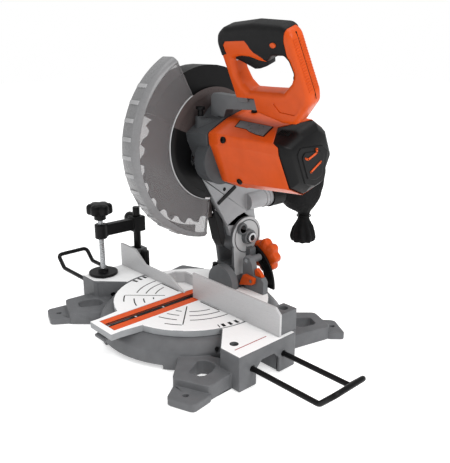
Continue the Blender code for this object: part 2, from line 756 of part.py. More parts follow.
def side_block():
    """Right-hand table block, hollow from below, with its open arch and the block that holds a post."""
    floor = -TABLE_HEIGHT
    inner = TURNTABLE_RADIUS - LEDGE_SLOPE
    outline = [(inner, -BLOCK_INNER_FRONT), (TURNTABLE_RADIUS - LEDGE_DROP, -BLOCK_INNER_FRONT),
               (BLOCK_CORNER_X, -BLOCK_FRONT), (BLOCK_HALF_SPAN, -BLOCK_FRONT), (BLOCK_HALF_SPAN, BLOCK_BACK),
               (SOCKET_OUTER_X, BLOCK_BACK), (SOCKET_OUTER_X, SOCKET_BACK), (SOCKET_INNER_X, SOCKET_BACK),
               (SOCKET_INNER_X, BLOCK_BACK), (inner, BLOCK_BACK)]
    table = prism("z", outline, floor + GAP, 0)
    pocket = block((BLOCK_POCKET_X, BLOCK_WALL - BLOCK_FRONT, floor - OVERRUN),
                   (BLOCK_HALF_SPAN - BLOCK_WALL, -BLOCK_WALL, -BLOCK_WALL))
    top = floor + ARCH_HEIGHT
    arch = [(-ARCH_FRONT, floor - OVERRUN), (-ARCH_BACK, floor - OVERRUN), (-ARCH_BACK, top - ARCH_CORNER),
            (-ARCH_BACK - ARCH_CORNER, top), (ARCH_CORNER - ARCH_FRONT, top),
            (-ARCH_FRONT, top - ARCH_CORNER)]
    opening = prism("x", arch, BLOCK_HALF_SPAN - 2 * BLOCK_WALL, BLOCK_HALF_SPAN + OVERRUN)
    hole = cylinder("z", (TABLE_HOLE_X, TABLE_HOLE_Y), TABLE_HOLE_RADIUS, -2 * BLOCK_WALL, OVERRUN,
                    SMALL_ROUND)
    return cut(table, pocket, opening, hole)


def leg(body_shares, foot_shares, hole_shares, foot_hole_share):
    floor = -TABLE_HEIGHT
    upper = prism("z", filleted(scaled(body_shares, LEG_REACH), LEG_HEIGHT / 4, 2), floor, floor + LEG_HEIGHT)
    foot = prism("z", filleted(scaled(foot_shares, LEG_REACH), LEG_HEIGHT / 4, 2), floor, floor + FOOT_HEIGHT)
    window = prism("z", filleted(scaled(hole_shares, LEG_REACH), LEG_HEIGHT / 6, 1), floor - OVERRUN,
                   floor + LEG_HEIGHT + OVERRUN)
    centre = scaled([foot_hole_share], LEG_REACH)[0]
    hole = cylinder("z", centre, FOOT_HOLE_RADIUS, floor - OVERRUN, floor + FOOT_HEIGHT + OVERRUN,
                    SMALL_ROUND)
    return cut(joined(upper, foot), window, hole)


def hub_top():
    """Top of the fixed hub that the turntable's trough rests on."""
    return -TROUGH_DEPTH - TROUGH_WALL - 2 * RUNNING_GAP


def fence_bolt_y():
    return FENCE_FRONT_Y + FENCE_THICKNESS + FLANGE_DEPTH / 2


def base_bores():
    floor = -TABLE_HEIGHT - OVERRUN
    bores = [cylinder("z", (0, 0), PIVOT_BOLT_RADIUS + GAP, floor, OVERRUN, SMALL_ROUND),
             cylinder("z", (POST_KNOB_X, POST_KNOB_Y), FENCE_BOLT_RADIUS + GAP, -FENCE_BOLT_LENGTH, OVERRUN,
                      SMALL_ROUND)]
    for side in (-1, 1):
        ends = sorted((side * (WIRE_INNER_X - WIRE_TRAVEL - OVERRUN), side * (BLOCK_HALF_SPAN + OVERRUN)))
        for y in (WIRE_FRONT_Y, WIRE_BACK_Y):
            bores.append(cylinder("x", (y, WIRE_Z), WIRE_RADIUS + GAP, ends[0], ends[1], SMALL_ROUND))
        bores.append(cylinder("z", (side * POST_X, POST_Y), POST_RADIUS + RUNNING_GAP, floor, OVERRUN,
                              SMALL_ROUND))
        bores.append(cylinder("z", (side * FENCE_BOLT_X, fence_bolt_y()), FENCE_BOLT_RADIUS + GAP,
                              -FENCE_BOLT_LENGTH,
                              OVERRUN, SMALL_ROUND))
    return bores


def make_base():
    floor = -TABLE_HEIGHT
    hub = cylinder("z", (0, 0), HUB_RADIUS, hub_top() - HUB_THICKNESS, hub_top(), ROUND)
    reach = SKIRT_RADIUS - SKIRT_WALL / 2
    rib_top = hub_top() - SKIRT_WALL / 2
    ribs = [block((-reach, -RIB_HALF_WIDTH, rib_top - RIB_HEIGHT), (reach, RIB_HALF_WIDTH, rib_top)),
            block((-RIB_HALF_WIDTH, -reach, rib_top - RIB_HEIGHT), (RIB_HALF_WIDTH, reach, rib_top))]
    right = side_block()
    front = leg(FRONT_LEG_BODY_SHARES, FRONT_LEG_FOOT_SHARES, FRONT_LEG_HOLE_SHARES, FRONT_FOOT_HOLE_SHARE)
    back = leg(BACK_LEG_BODY_SHARES, BACK_LEG_FOOT_SHARES, BACK_LEG_HOLE_SHARES, BACK_FOOT_HOLE_SHARE)
    outer = joined(right, mirrored(right), front, mirrored(front), back, mirrored(back))
    inner = RING_SEAT_INNER + SKIRT_WALL / 2
    bowl = turned("z", (0, 0), [(0, floor - OVERRUN), (reach, floor - OVERRUN),
                                (reach, -TURNTABLE_THICKNESS - LEDGE_DROP - LEDGE_SLOPE - SKIRT_WALL * 0.8),
                                (inner, -TURNTABLE_THICKNESS - SKIRT_WALL / 2), (inner, OVERRUN),
                                (0, OVERRUN)])
    room = cylinder("z", (0, 0), TURNTABLE_RADIUS + LEDGE_DROP - RUNNING_GAP, -TURNTABLE_THICKNESS - 2 * GAP,
                    OVERRUN,
                    FINE_ROUND + 4)
    base = cut(joined(ring_casting(), cut(outer, bowl, room), hub, *ribs), *base_bores())
    piece("base_casting", base, "cast_grey", "root")
    seat = hub_top() - HUB_THICKNESS - GAP
    nut = cut(prism("z", circle((0, 0), PIVOT_HEAD_RADIUS, 6), seat - PIVOT_NUT_HEIGHT, seat),
              cylinder("z", (0, 0), PIVOT_BOLT_RADIUS + GAP, floor, 0, SMALL_ROUND))
    piece("pivot_nut", nut, "steel", "root")
    low = -TROUGH_DEPTH + GAP
    bolt = joined(prism("z", circle((0, 0), PIVOT_HEAD_RADIUS, 6), low, low + PIVOT_HEAD_HEIGHT),
                  cylinder("z", (0, 0), PIVOT_BOLT_RADIUS, seat - PIVOT_NUT_HEIGHT,
                           low + PIVOT_HEAD_HEIGHT / 2,
                           SMALL_ROUND))
    piece("pivot_bolt", bolt, "steel", "root")


def make_wires():
    rise = WIRE_OUTER_X - WIRE_KNEE_X
    for name, side in (("right", 1), ("left", -1)):
        half = [(WIRE_INNER_X, WIRE_Z), (WIRE_KNEE_X, WIRE_Z), (WIRE_OUTER_X, WIRE_Z + rise)]
        corners = [Vector((side * x, WIRE_FRONT_Y, z)) for x, z in half]
        corners += [Vector((side * x, WIRE_BACK_Y, z)) for x, z in reversed(half)]
        path = [corners[0]]
        for before, corner, after in zip(corners, corners[1:], corners[2:]):
            start = corner + (before - corner).normalized() * WIRE_BEND
            end = corner + (after - corner).normalized() * WIRE_BEND
            for k in range(5):
                t = k / 4
                path.append(start * (1 - t) ** 2 + corner * 2 * t * (1 - t) + end * t ** 2)
        path.append(corners[-1])
        piece("extension_wire_" + name, tube(path, WIRE_RADIUS, 12), "black_plastic", "wire_" + name)


def make_fence():
    back = FENCE_FRONT_Y + FENCE_THICKNESS
    inside = FENCE_FRONT_Y + FENCE_THICKNESS / 2
    right = [(FENCE_RIGHT_START, FENCE_LIFT), (FENCE_RIGHT_END, FENCE_LIFT),
             (FENCE_RIGHT_END, FENCE_HEIGHT - FENCE_CHAMFER), (FENCE_RIGHT_END - FENCE_CHAMFER, FENCE_HEIGHT),
             (FENCE_RIGHT_START, FENCE_HEIGHT)]
    left = [(u * FENCE_LEFT_REACH, FENCE_LIFT + v * (FENCE_HEIGHT - FENCE_LIFT)) for u,
            v in FENCE_LEFT_SHARES]
    corner = [(BRIDGE_LEFT_X, BRIDGE_BACK_Y - BRIDGE_CORNER), (BRIDGE_LEFT_X + BRIDGE_CORNER, BRIDGE_BACK_Y)]
    outside = [(BRIDGE_LEFT_X, inside)] + corner + [(BRIDGE_RIGHT_X, BRIDGE_BACK_Y), (BRIDGE_RIGHT_X, inside)]
    inner_corner = BRIDGE_CORNER - BRIDGE_THICKNESS / 2
    within = [(BRIDGE_RIGHT_X - BRIDGE_THICKNESS, inside),
              (BRIDGE_RIGHT_X - BRIDGE_THICKNESS, BRIDGE_BACK_Y - BRIDGE_THICKNESS),
              (BRIDGE_LEFT_X + BRIDGE_THICKNESS + inner_corner, BRIDGE_BACK_Y - BRIDGE_THICKNESS),
              (BRIDGE_LEFT_X + BRIDGE_THICKNESS, BRIDGE_BACK_Y - BRIDGE_THICKNESS - inner_corner),
              (BRIDGE_LEFT_X + BRIDGE_THICKNESS, inside)]
    others = [prism("y", left, FENCE_FRONT_Y, back),
              prism("z", outside + within, FENCE_LIFT, FENCE_LIFT + BRIDGE_HEIGHT)]
    holes = []
    for side in (-1, 1):
        ends = sorted((side * FLANGE_INNER_X, side * (SOCKET_OUTER_X - OVERRUN)))
        others.append(block((ends[0], inside, FENCE_LIFT),
                            (ends[1], back + FLANGE_DEPTH, FENCE_LIFT + FLANGE_HEIGHT)))
        ends = sorted((side * SOCKET_INNER_X, side * SOCKET_OUTER_X))
        others.append(block((ends[0], inside, FENCE_LIFT),
                            (ends[1], SOCKET_BACK, FENCE_LIFT + SOCKET_HEIGHT)))
        holes.append(cylinder("z", (side * POST_X, POST_Y), POST_RADIUS + RUNNING_GAP, -OVERRUN,
                              SOCKET_HEIGHT + 2 * OVERRUN, SMALL_ROUND))
        holes.append(cylinder("z", (side * FENCE_BOLT_X, fence_bolt_y()), FENCE_BOLT_RADIUS + GAP, -OVERRUN,
                              FLANGE_HEIGHT + OVERRUN, SMALL_ROUND))
    piece("fence", cut(joined(prism("y", right, FENCE_FRONT_Y, back), *others), *holes), "fence_steel",
          "root")
    seat = FENCE_LIFT + FLANGE_HEIGHT + GAP
    for name, side in (("right", 1), ("left", -1)):
        bolt = turned("z", (side * FENCE_BOLT_X, fence_bolt_y()), [
            (0, OVERRUN - FENCE_BOLT_LENGTH), (FENCE_BOLT_RADIUS, OVERRUN - FENCE_BOLT_LENGTH),
            (FENCE_BOLT_RADIUS, seat),
            (FENCE_BOLT_HEAD, seat), (FENCE_BOLT_HEAD, seat + FENCE_BOLT_HEAD), (0, seat + FENCE_BOLT_HEAD)],
                      SMALL_ROUND)
        piece("fence_bolt_" + name, bolt, "steel", "root")


def make_clamp():
    post = (-POST_X, POST_Y)
    screw = (CLAMP_AXIS_X, CLAMP_AXIS_Y)
    piece("clamp_post", cylinder("z", post, POST_RADIUS, -POST_DEPTH, POST_TOP, SMALL_ROUND), "black_plastic",
          "clamp_post")
    half = CLAMP_ARM_HALF_WIDTH
    bar = [(screw[0] - half, screw[1]), (screw[0] + half, screw[1]), (post[0] + half, post[1]),
           (post[0] - half, post[1])]
    arm = joined(
        prism("z", bar, CLAMP_ARM_BOTTOM, CLAMP_ARM_TOP),
        cylinder("z", screw, CLAMP_EYE_RADIUS, CLAMP_ARM_BOTTOM - half / 2, CLAMP_ARM_TOP + half / 4,
                 MEDIUM_ROUND),
        block((post[0] - CLAMP_COLLAR_HALF, post[1] - CLAMP_COLLAR_HALF, CLAMP_ARM_BOTTOM - half / 2),
              (post[0] + CLAMP_COLLAR_HALF, post[1] + CLAMP_COLLAR_HALF, CLAMP_ARM_TOP + half / 2)))
    arm = cut(arm, cylinder("z", post, POST_RADIUS + GAP, 0, POST_TOP, SMALL_ROUND),
              cylinder("z", screw, CLAMP_SCREW_RADIUS + GAP, 0, POST_TOP, SMALL_ROUND),
              cylinder("x", (POST_Y, ARM_KNOB_Z), ARM_KNOB_SHANK + GAP, post[0] - 2 * CLAMP_COLLAR_HALF,
                       post[0],
                       SMALL_ROUND))
    piece("clamp_arm", arm, "black_plastic", "clamp_arm")
    tip = post[0] - POST_RADIUS - 2 * GAP
    face = post[0] - CLAMP_COLLAR_HALF - GAP
    piece("clamp_arm_knob", turned("x", (POST_Y, ARM_KNOB_Z), [
        (0, tip), (ARM_KNOB_SHANK, tip), (ARM_KNOB_SHANK, face), (ARM_KNOB_RADIUS * 0.7, face),
        (ARM_KNOB_RADIUS, face - ARM_KNOB_REACH), (ARM_KNOB_RADIUS, face - ARM_KNOB_LENGTH),
        (0, face - ARM_KNOB_LENGTH)], SMALL_ROUND), "black_plastic", "arm_knob")
    pad_top = CLAMP_SCREW_BOTTOM - GAP
    piece("clamp_pad", turned("z", screw, [
        (0, GAP), (CLAMP_PAD_RADIUS, GAP), (CLAMP_PAD_RADIUS, CLAMP_PAD_HEIGHT / 2),
        (CLAMP_PAD_RADIUS * 0.85, CLAMP_PAD_HEIGHT), (CLAMP_PAD_HUB, CLAMP_PAD_HEIGHT),
        (CLAMP_PAD_HUB * 0.8, pad_top),
        (0, pad_top)], ROUND), "black_plastic", "clamp_pad")
    piece("clamp_screw", cylinder("z", screw, CLAMP_SCREW_RADIUS, CLAMP_SCREW_BOTTOM, CLAMP_NECK_BOTTOM - GAP,
                                  SMALL_ROUND), "steel", "clamp_screw")
    lap = CLAMP_KNOB_BOTTOM + OVERRUN
    step = (CLAMP_KNOB_TOP - CLAMP_KNOB_BOTTOM) / 3
    knob = joined(
        turned("z", screw, [(0, CLAMP_NECK_BOTTOM), (CLAMP_NECK_RADIUS, CLAMP_NECK_BOTTOM),
                            (CLAMP_NECK_RADIUS * 1.1, lap), (0, lap)], MEDIUM_ROUND),
        loft("z", [(CLAMP_KNOB_BOTTOM + i * step,
                    lobed(screw, CLAMP_KNOB_RADIUS * 0.72 * share, CLAMP_KNOB_RADIUS * share,
                          CLAMP_KNOB_LOBES))
                   for i, share in enumerate((0.86, 1.0, 1.0, 0.84))]))
    piece("clamp_knob", knob, "black_plastic", "clamp_screw")
    low = OVERRUN - FENCE_BOLT_LENGTH
    piece("clamp_post_knob", turned("z", (POST_KNOB_X, POST_KNOB_Y), [
        (0, low), (FENCE_BOLT_RADIUS, low), (FENCE_BOLT_RADIUS, GAP), (POST_KNOB_BOSS, GAP),
        (POST_KNOB_BOSS, POST_KNOB_HEIGHT * 0.2), (POST_KNOB_RADIUS * 0.6, POST_KNOB_HEIGHT * 0.35),
        (POST_KNOB_RADIUS, POST_KNOB_HEIGHT * 0.55), (POST_KNOB_RADIUS * 0.75, POST_KNOB_HEIGHT),
        (0, POST_KNOB_HEIGHT)], MEDIUM_ROUND), "black_plastic", "post_knob")


def stud_centre():
    angle = math.radians(STUD_ANGLE_DEG)
    return (STUD_ORBIT * math.cos(angle), STUD_ORBIT * math.sin(angle))


def latch_pivot():
    return (LATCH_PIVOT_Y, -TURNTABLE_THICKNESS - LATCH_EAR_DROP / 2)


def lever_pivot():
    return scaled([STOP_LEVER_PIVOT_SHARE], STOP_LEVER_REACH)[0]


def turntable_solid():
    middle = -TURNTABLE_THICKNESS / 2
    tip_back = ARM_TIP_Y + ARM_TIP_HALF_WIDTH / 2
    arm = [(-ARM_ROOT_HALF_WIDTH, ARM_ROOT_Y), (-ARM_TIP_HALF_WIDTH, tip_back),
           (-ARM_TIP_HALF_WIDTH, ARM_TIP_Y),
           (ARM_TIP_HALF_WIDTH, ARM_TIP_Y), (ARM_TIP_HALF_WIDTH, tip_back), (ARM_ROOT_HALF_WIDTH, ARM_ROOT_Y)]
    ears = []
    for side in (-1, 1):
        ends = sorted((side * (LATCH_HALF_WIDTH + 2 * GAP), side * (LATCH_HALF_WIDTH + LATCH_THICKNESS)))
        ears.append(block((ends[0], LATCH_PIVOT_Y - LATCH_THICKNESS, -TURNTABLE_THICKNESS - LATCH_EAR_DROP),
                          (ends[1], LATCH_PIVOT_Y + LATCH_THICKNESS, middle)))
    dome = arc((0, BOSS_LIFT), BOSS_RADIUS, 0, 180, ROUND // 2) + [(-BOSS_RADIUS, middle),
                                                                   (BOSS_RADIUS, middle)]
    stub_front = BOSS_BACK_Y + OVERRUN
    return joined(
        cylinder("z", (0, 0), TURNTABLE_RADIUS, -TURNTABLE_THICKNESS, 0, FINE_ROUND),
        prism("z", arm, -TURNTABLE_THICKNESS, 0),
        prism("z", scaled(TROUGH_OUTER_SHARES, TROUGH_REACH), -TROUGH_DEPTH - TROUGH_WALL, middle),
        *ears,
        prism("y", dome, BOSS_FRONT_Y, BOSS_BACK_Y),
        cylinder("z", (STOP_SCREW_X, STOP_SCREW_Y), STOP_SCREW_BOSS, 0, STOP_SCREW_SEAT, MEDIUM_ROUND),
        prism("y", scaled(SUPPORT_SHARES, SUPPORT_REACH), SUPPORT_FRONT_Y, SUPPORT_BACK_Y),
        cylinder("y", stud_centre(), SPACER_RADIUS, SUPPORT_BACK_Y - OVERRUN, SCALE_FRONT_Y - RUNNING_GAP,
                 MEDIUM_ROUND),
        cylinder("y", lever_pivot(), STOP_LEVER_PIN_RADIUS, stub_front, SUPPORT_FRONT_Y + OVERRUN, 12))


def turntable_cuts():
    recess = BOARD_THICKNESS + GAP
    half = KERF_HALF_WIDTH + GAP
    room = TILT_HUB_RADIUS + 2 * RUNNING_GAP
    return [
        block((-half, KERF_FRONT_Y - GAP, -recess), (half, KERF_BACK_Y + GAP, OVERRUN)),
        block((-LEDGE_HALF_WIDTH, SLOT_FRONT_Y, -SLOT_DEPTH), (LEDGE_HALF_WIDTH, SLOT_BACK_Y, OVERRUN)),
        prism("z", scaled(TROUGH_SHARES, TROUGH_REACH), -TROUGH_DEPTH, -recess - TROUGH_WALL * 1.5),
        block((-room, BOSS_BACK_Y + GAP, -TURNTABLE_THICKNESS - OVERRUN),
              (room, TILT_HUB_BACK_Y + 2 * RUNNING_GAP, OVERRUN)),
        cylinder("z", (0, 0), PIVOT_BOLT_RADIUS + RUNNING_GAP, -TABLE_HEIGHT, 0, SMALL_ROUND),
        cylinder("y", (0, 0), BEVEL_PIN_RADIUS + GAP, BOSS_FRONT_Y + OVERRUN, BOSS_BACK_Y + OVERRUN,
                 MEDIUM_ROUND),
        cylinder("y", stud_centre(), STUD_RADIUS + GAP, SUPPORT_FRONT_Y - OVERRUN, SCALE_FRONT_Y + OVERRUN,
                 SMALL_ROUND),
        cylinder("z", (STOP_SCREW_X, STOP_SCREW_Y), STOP_SCREW_BOSS + GAP, STOP_SCREW_SEAT, TABLE_HEIGHT,
                 MEDIUM_ROUND),
        cylinder("z", (STOP_SCREW_X, STOP_SCREW_Y), STOP_SCREW_RADIUS + GAP, STOP_SCREW_BOTTOM - OVERRUN,
                 TABLE_HEIGHT, SMALL_ROUND),
        cylinder("x", latch_pivot(), LATCH_PIN_RADIUS + GAP, -2 * LATCH_HALF_WIDTH, 2 * LATCH_HALF_WIDTH, 12),
    ]


def make_turntable():
    piece("turntable", cut(turntable_solid(), *turntable_cuts()), "table_white", "turntable")
    board = [(SLOT_HALF_WIDTH, 0), (KERF_HALF_WIDTH, 0), (KERF_HALF_WIDTH, -BOARD_THICKNESS),
             (SLOT_RELIEF, -BOARD_THICKNESS), (SLOT_HALF_WIDTH, -BOARD_THICKNESS / 5)]
    piece("kerf_board_right", prism("y", board, KERF_FRONT_Y, KERF_BACK_Y), "orange_plastic",
          "turntable")
    piece("kerf_board_left", prism("y", mirrored_outline(board), KERF_FRONT_Y, KERF_BACK_Y), "orange_plastic",
          "turntable")
    top = -TURNTABLE_THICKNESS - 2 * RUNNING_GAP
    front = ARM_TIP_Y - LATCH_LIP / 2
    low = latch_pivot()[1] - LATCH_THICKNESS
    back = LATCH_PIVOT_Y + LATCH_LIP / 2
    profile = [(front, top - LATCH_LIP), (front, top - LATCH_THICKNESS / 2), (ARM_TIP_Y + LATCH_LIP, top),
               (back, top),
               (back, low), (LATCH_PIVOT_Y - LATCH_LIP / 2, low),
               (ARM_TIP_Y + LATCH_LIP, top - LATCH_THICKNESS),
               (front + LATCH_LIP / 2, top - LATCH_LIP)]
    reach = LATCH_HALF_WIDTH + LATCH_THICKNESS
    latch = joined(prism("x", profile, -LATCH_HALF_WIDTH, LATCH_HALF_WIDTH),
                   cylinder("x", latch_pivot(), LATCH_PIN_RADIUS, -reach, reach, 12))
    piece("mitre_latch", latch, "cast_grey", "mitre_latch")
    seat = STOP_SCREW_SEAT + GAP
    piece("bevel_stop_screw", turned("z", (STOP_SCREW_X, STOP_SCREW_Y), [
        (0, STOP_SCREW_BOTTOM), (STOP_SCREW_RADIUS, STOP_SCREW_BOTTOM), (STOP_SCREW_RADIUS, seat),
        (STOP_SCREW_HEAD_RADIUS, seat), (STOP_SCREW_HEAD_RADIUS, seat + STOP_SCREW_HEAD),
        (0, seat + STOP_SCREW_HEAD)], SMALL_ROUND), "black_plastic", "turntable")
    stud = stud_centre()
    knob_back = KNOB_FRONT_Y + KNOB_THICKNESS
    piece("bevel_lock_stud", cylinder("y", stud, STUD_RADIUS, SUPPORT_FRONT_Y + GAP,
                                      knob_back - KNOB_THICKNESS / 3,
                                      SMALL_ROUND), "steel", "turntable")
    hub_front = SCALE_FRONT_Y + SCALE_THICKNESS + 2 * RUNNING_GAP
    step = KNOB_THICKNESS / 3
    knob = joined(
        loft("y", [(KNOB_FRONT_Y + i * step, lobed(stud, KNOB_RADIUS * 0.88 * share, KNOB_RADIUS * share,
                                                   KNOB_LOBES, 6))
                   for i, share in enumerate((0.94, 1.0, 1.0, 0.9))]),
        cylinder("y", stud, KNOB_HUB_RADIUS, hub_front, KNOB_FRONT_Y + OVERRUN, MEDIUM_ROUND))
    bore = cylinder("y", stud, STUD_RADIUS + GAP, hub_front - OVERRUN, knob_back - KNOB_THICKNESS / 4,
                    SMALL_ROUND)
    piece("bevel_lock_knob", cut(knob, bore), "orange_plastic", "bevel_knob")
    lever = prism("y", filleted(scaled(STOP_LEVER_SHARES, STOP_LEVER_REACH), OVERRUN, 2),
                  BOSS_BACK_Y + OVERRUN,
                  SUPPORT_FRONT_Y - RUNNING_GAP)
    lever = cut(lever, cylinder("y", lever_pivot(), STOP_LEVER_PIN_RADIUS + GAP, BOSS_BACK_Y,
                                SUPPORT_FRONT_Y + OVERRUN,
                                12))
    piece("bevel_stop_lever", lever, "orange_plastic", "stop_lever")
    piece("bevel_pointer", prism("y", scaled(POINTER_SHARES, POINTER_REACH), SUPPORT_FRONT_Y + OVERRUN,
                                 SUPPORT_BACK_Y - OVERRUN), "orange_plastic", "turntable")


def head_pivot():
    return (HEAD_PIVOT_Y, HEAD_PIVOT_Z)


def pin_centre(turn_deg=0.0):
    """Place of the hold-down pin, or of its mark on the head when the head has turned the other way."""
    turn = math.radians(turn_deg)
    return (HEAD_PIVOT_Y + PIN_OFFSET_Y * math.cos(turn) - PIN_OFFSET_Z * math.sin(turn),
            HEAD_PIVOT_Z + PIN_OFFSET_Y * math.sin(turn) + PIN_OFFSET_Z * math.cos(turn))


def make_tilt_arm():
    pivot = head_pivot()
    pin = pin_centre()
    web = [(LEFT_CHEEK_OUTER, 2 * OVERRUN - LEFT_CHEEK_OUTER), (-WEB_BOTTOM / 2, WEB_BOTTOM),
           (RIGHT_CHEEK_OUTER, WEB_BOTTOM), (RIGHT_CHEEK_OUTER, WEB_TOP), (LEFT_CHEEK_OUTER, WEB_TOP)]
    left = filleted(scaled(LEFT_CHEEK_SHARES, CHEEK_REACH), OVERRUN * 3, 2)
    arm = joined(
        cylinder("y", (0, 0), TILT_HUB_RADIUS, BOSS_BACK_Y + 2 * RUNNING_GAP, TILT_HUB_BACK_Y, ROUND),
        prism("y", web, WEB_FRONT_Y, WEB_BACK_Y),
        prism("x", scaled(RIGHT_CHEEK_SHARES, CHEEK_REACH), RIGHT_CHEEK_INNER, RIGHT_CHEEK_OUTER),
        cylinder("x", pivot, RIGHT_LUG_RADIUS, RIGHT_CHEEK_INNER, RIGHT_CHEEK_OUTER),
        prism("x", left, LEFT_CHEEK_OUTER, LEFT_CHEEK_INNER),
        cylinder("x", pivot, LEFT_LUG_RADIUS, LEFT_CHEEK_OUTER, LEFT_CHEEK_INNER),
        cylinder("x", pivot, SHAFT_BOSS_RADIUS, RIGHT_CHEEK_INNER + OVERRUN, SHAFT_BOSS_END, MEDIUM_ROUND),
        cylinder("x", pin, PIN_BOSS_RADIUS, RIGHT_CHEEK_INNER + OVERRUN, PIN_BOSS_END, MEDIUM_ROUND),
        block((RIGHT_CHEEK_OUTER - OVERRUN, SCALE_RIB_FRONT_Y, SCALE_RIB_BOTTOM),
              (SCALE_RIB_END, SCALE_FRONT_Y - GAP, SCALE_RIB_TOP)))
    arm = cut(arm,
              cylinder("x", pivot, SHAFT_RADIUS + GAP, SHAFT_LEFT_END - OVERRUN, SHAFT_RIGHT_END,
                       MEDIUM_ROUND),
              cylinder("x", pin, PIN_HEAD_RADIUS + GAP, RIGHT_CHEEK_INNER - OVERRUN, PIN_BOSS_END + OVERRUN,
                       SMALL_ROUND),
              cylinder("y", (0, 0), BEVEL_PIN_RADIUS + GAP, 0, BEVEL_PIN_BACK_Y + GAP, MEDIUM_ROUND))
    piece("tilt_arm", arm, "cast_grey", "tilt")
    piece("bevel_pivot_pin", cylinder("y", (0, 0), BEVEL_PIN_RADIUS, BOSS_FRONT_Y + OVERRUN + GAP,
                                      BEVEL_PIN_BACK_Y,
                                      MEDIUM_ROUND), "steel", "turntable")
    piece("head_pivot_shaft", cylinder("x", pivot, SHAFT_RADIUS, SHAFT_LEFT_END, SHAFT_RIGHT_END,
                                       MEDIUM_ROUND), "steel", "tilt")
    tip = RIGHT_CHEEK_INNER + GAP
    end = PIN_BOSS_END - OVERRUN / 2
    piece("hold_down_pin", turned("x", pin, [
        (0, tip), (PIN_TIP_RADIUS, tip), (PIN_TIP_RADIUS, tip + PIN_TRAVEL),
        (PIN_HEAD_RADIUS, tip + PIN_TRAVEL),
        (PIN_HEAD_RADIUS, end), (0, end)], SMALL_ROUND), "black_plastic", "hold_down_pin")
    low = SCALE_FRONT_Y
    high = SCALE_FRONT_Y + SCALE_THICKNESS
    scale = cut(prism("y", sector((0, 0), SCALE_INNER, SCALE_OUTER, SCALE_START_DEG, SCALE_END_DEG, 20), low,
                      high),
                prism("y", sector((0, 0), STUD_ORBIT - SCALE_SLOT_HALF, STUD_ORBIT + SCALE_SLOT_HALF,
                                  SCALE_SLOT_START_DEG, SCALE_SLOT_END_DEG, 16), low - OVERRUN,
                      high + OVERRUN))
    piece("bevel_scale", scale, "black_plastic", "tilt")
    start = LEFT_CHEEK_INNER + SPRING_WIRE + 2 * GAP
    length = HEAD_HUB_LEFT - SPRING_WIRE - 2 * GAP - start
    steps = round(SPRING_TURNS * SPRING_POINTS)
    turns = [2 * math.pi * i / SPRING_POINTS for i in range(steps + 1)]
    coil = [Vector((start + length * i / steps, pivot[0] + SPRING_RADIUS * math.cos(a),
                    pivot[1] + SPRING_RADIUS * math.sin(a))) for i, a in enumerate(turns)]
    print("least gap of the spring to itself:", least_gap(coil, SPRING_WIRE, SPRING_POINTS // 2))
    piece("torsion_spring", tube(coil, SPRING_WIRE, 6), "steel", "tilt")


def gear_outline(centre, teeth, pitch, start_deg):
    """Outline with narrow teeth that reach a little past the pitch circle."""
    points = []
    step = 2 * math.pi / teeth
    root = pitch - 2 * TOOTH_REACH
    tip = pitch + TOOTH_REACH
    for i in range(teeth):
        middle = math.radians(start_deg) + i * step
        for share, radius in ((-0.32, root), (-0.14, tip), (0.14, tip), (0.32, root)):
            angle = middle + share * step
            points.append((centre[0] + radius * math.cos(angle), centre[1] + radius * math.sin(angle)))
    return points


def gear_pitches():
    """Pitch radii of the arbor gear and the motor pinion, from the distance between their shafts."""
    distance = math.hypot(MOTOR_Y - ARBOR_Y, MOTOR_Z - ARBOR_Z)
    total = GEAR_TEETH + PINION_TEETH
    return distance * GEAR_TEETH / total, distance * PINION_TEETH / total


def gear_room_radius():
    return gear_pitches()[0] + 2 * TOOTH_REACH


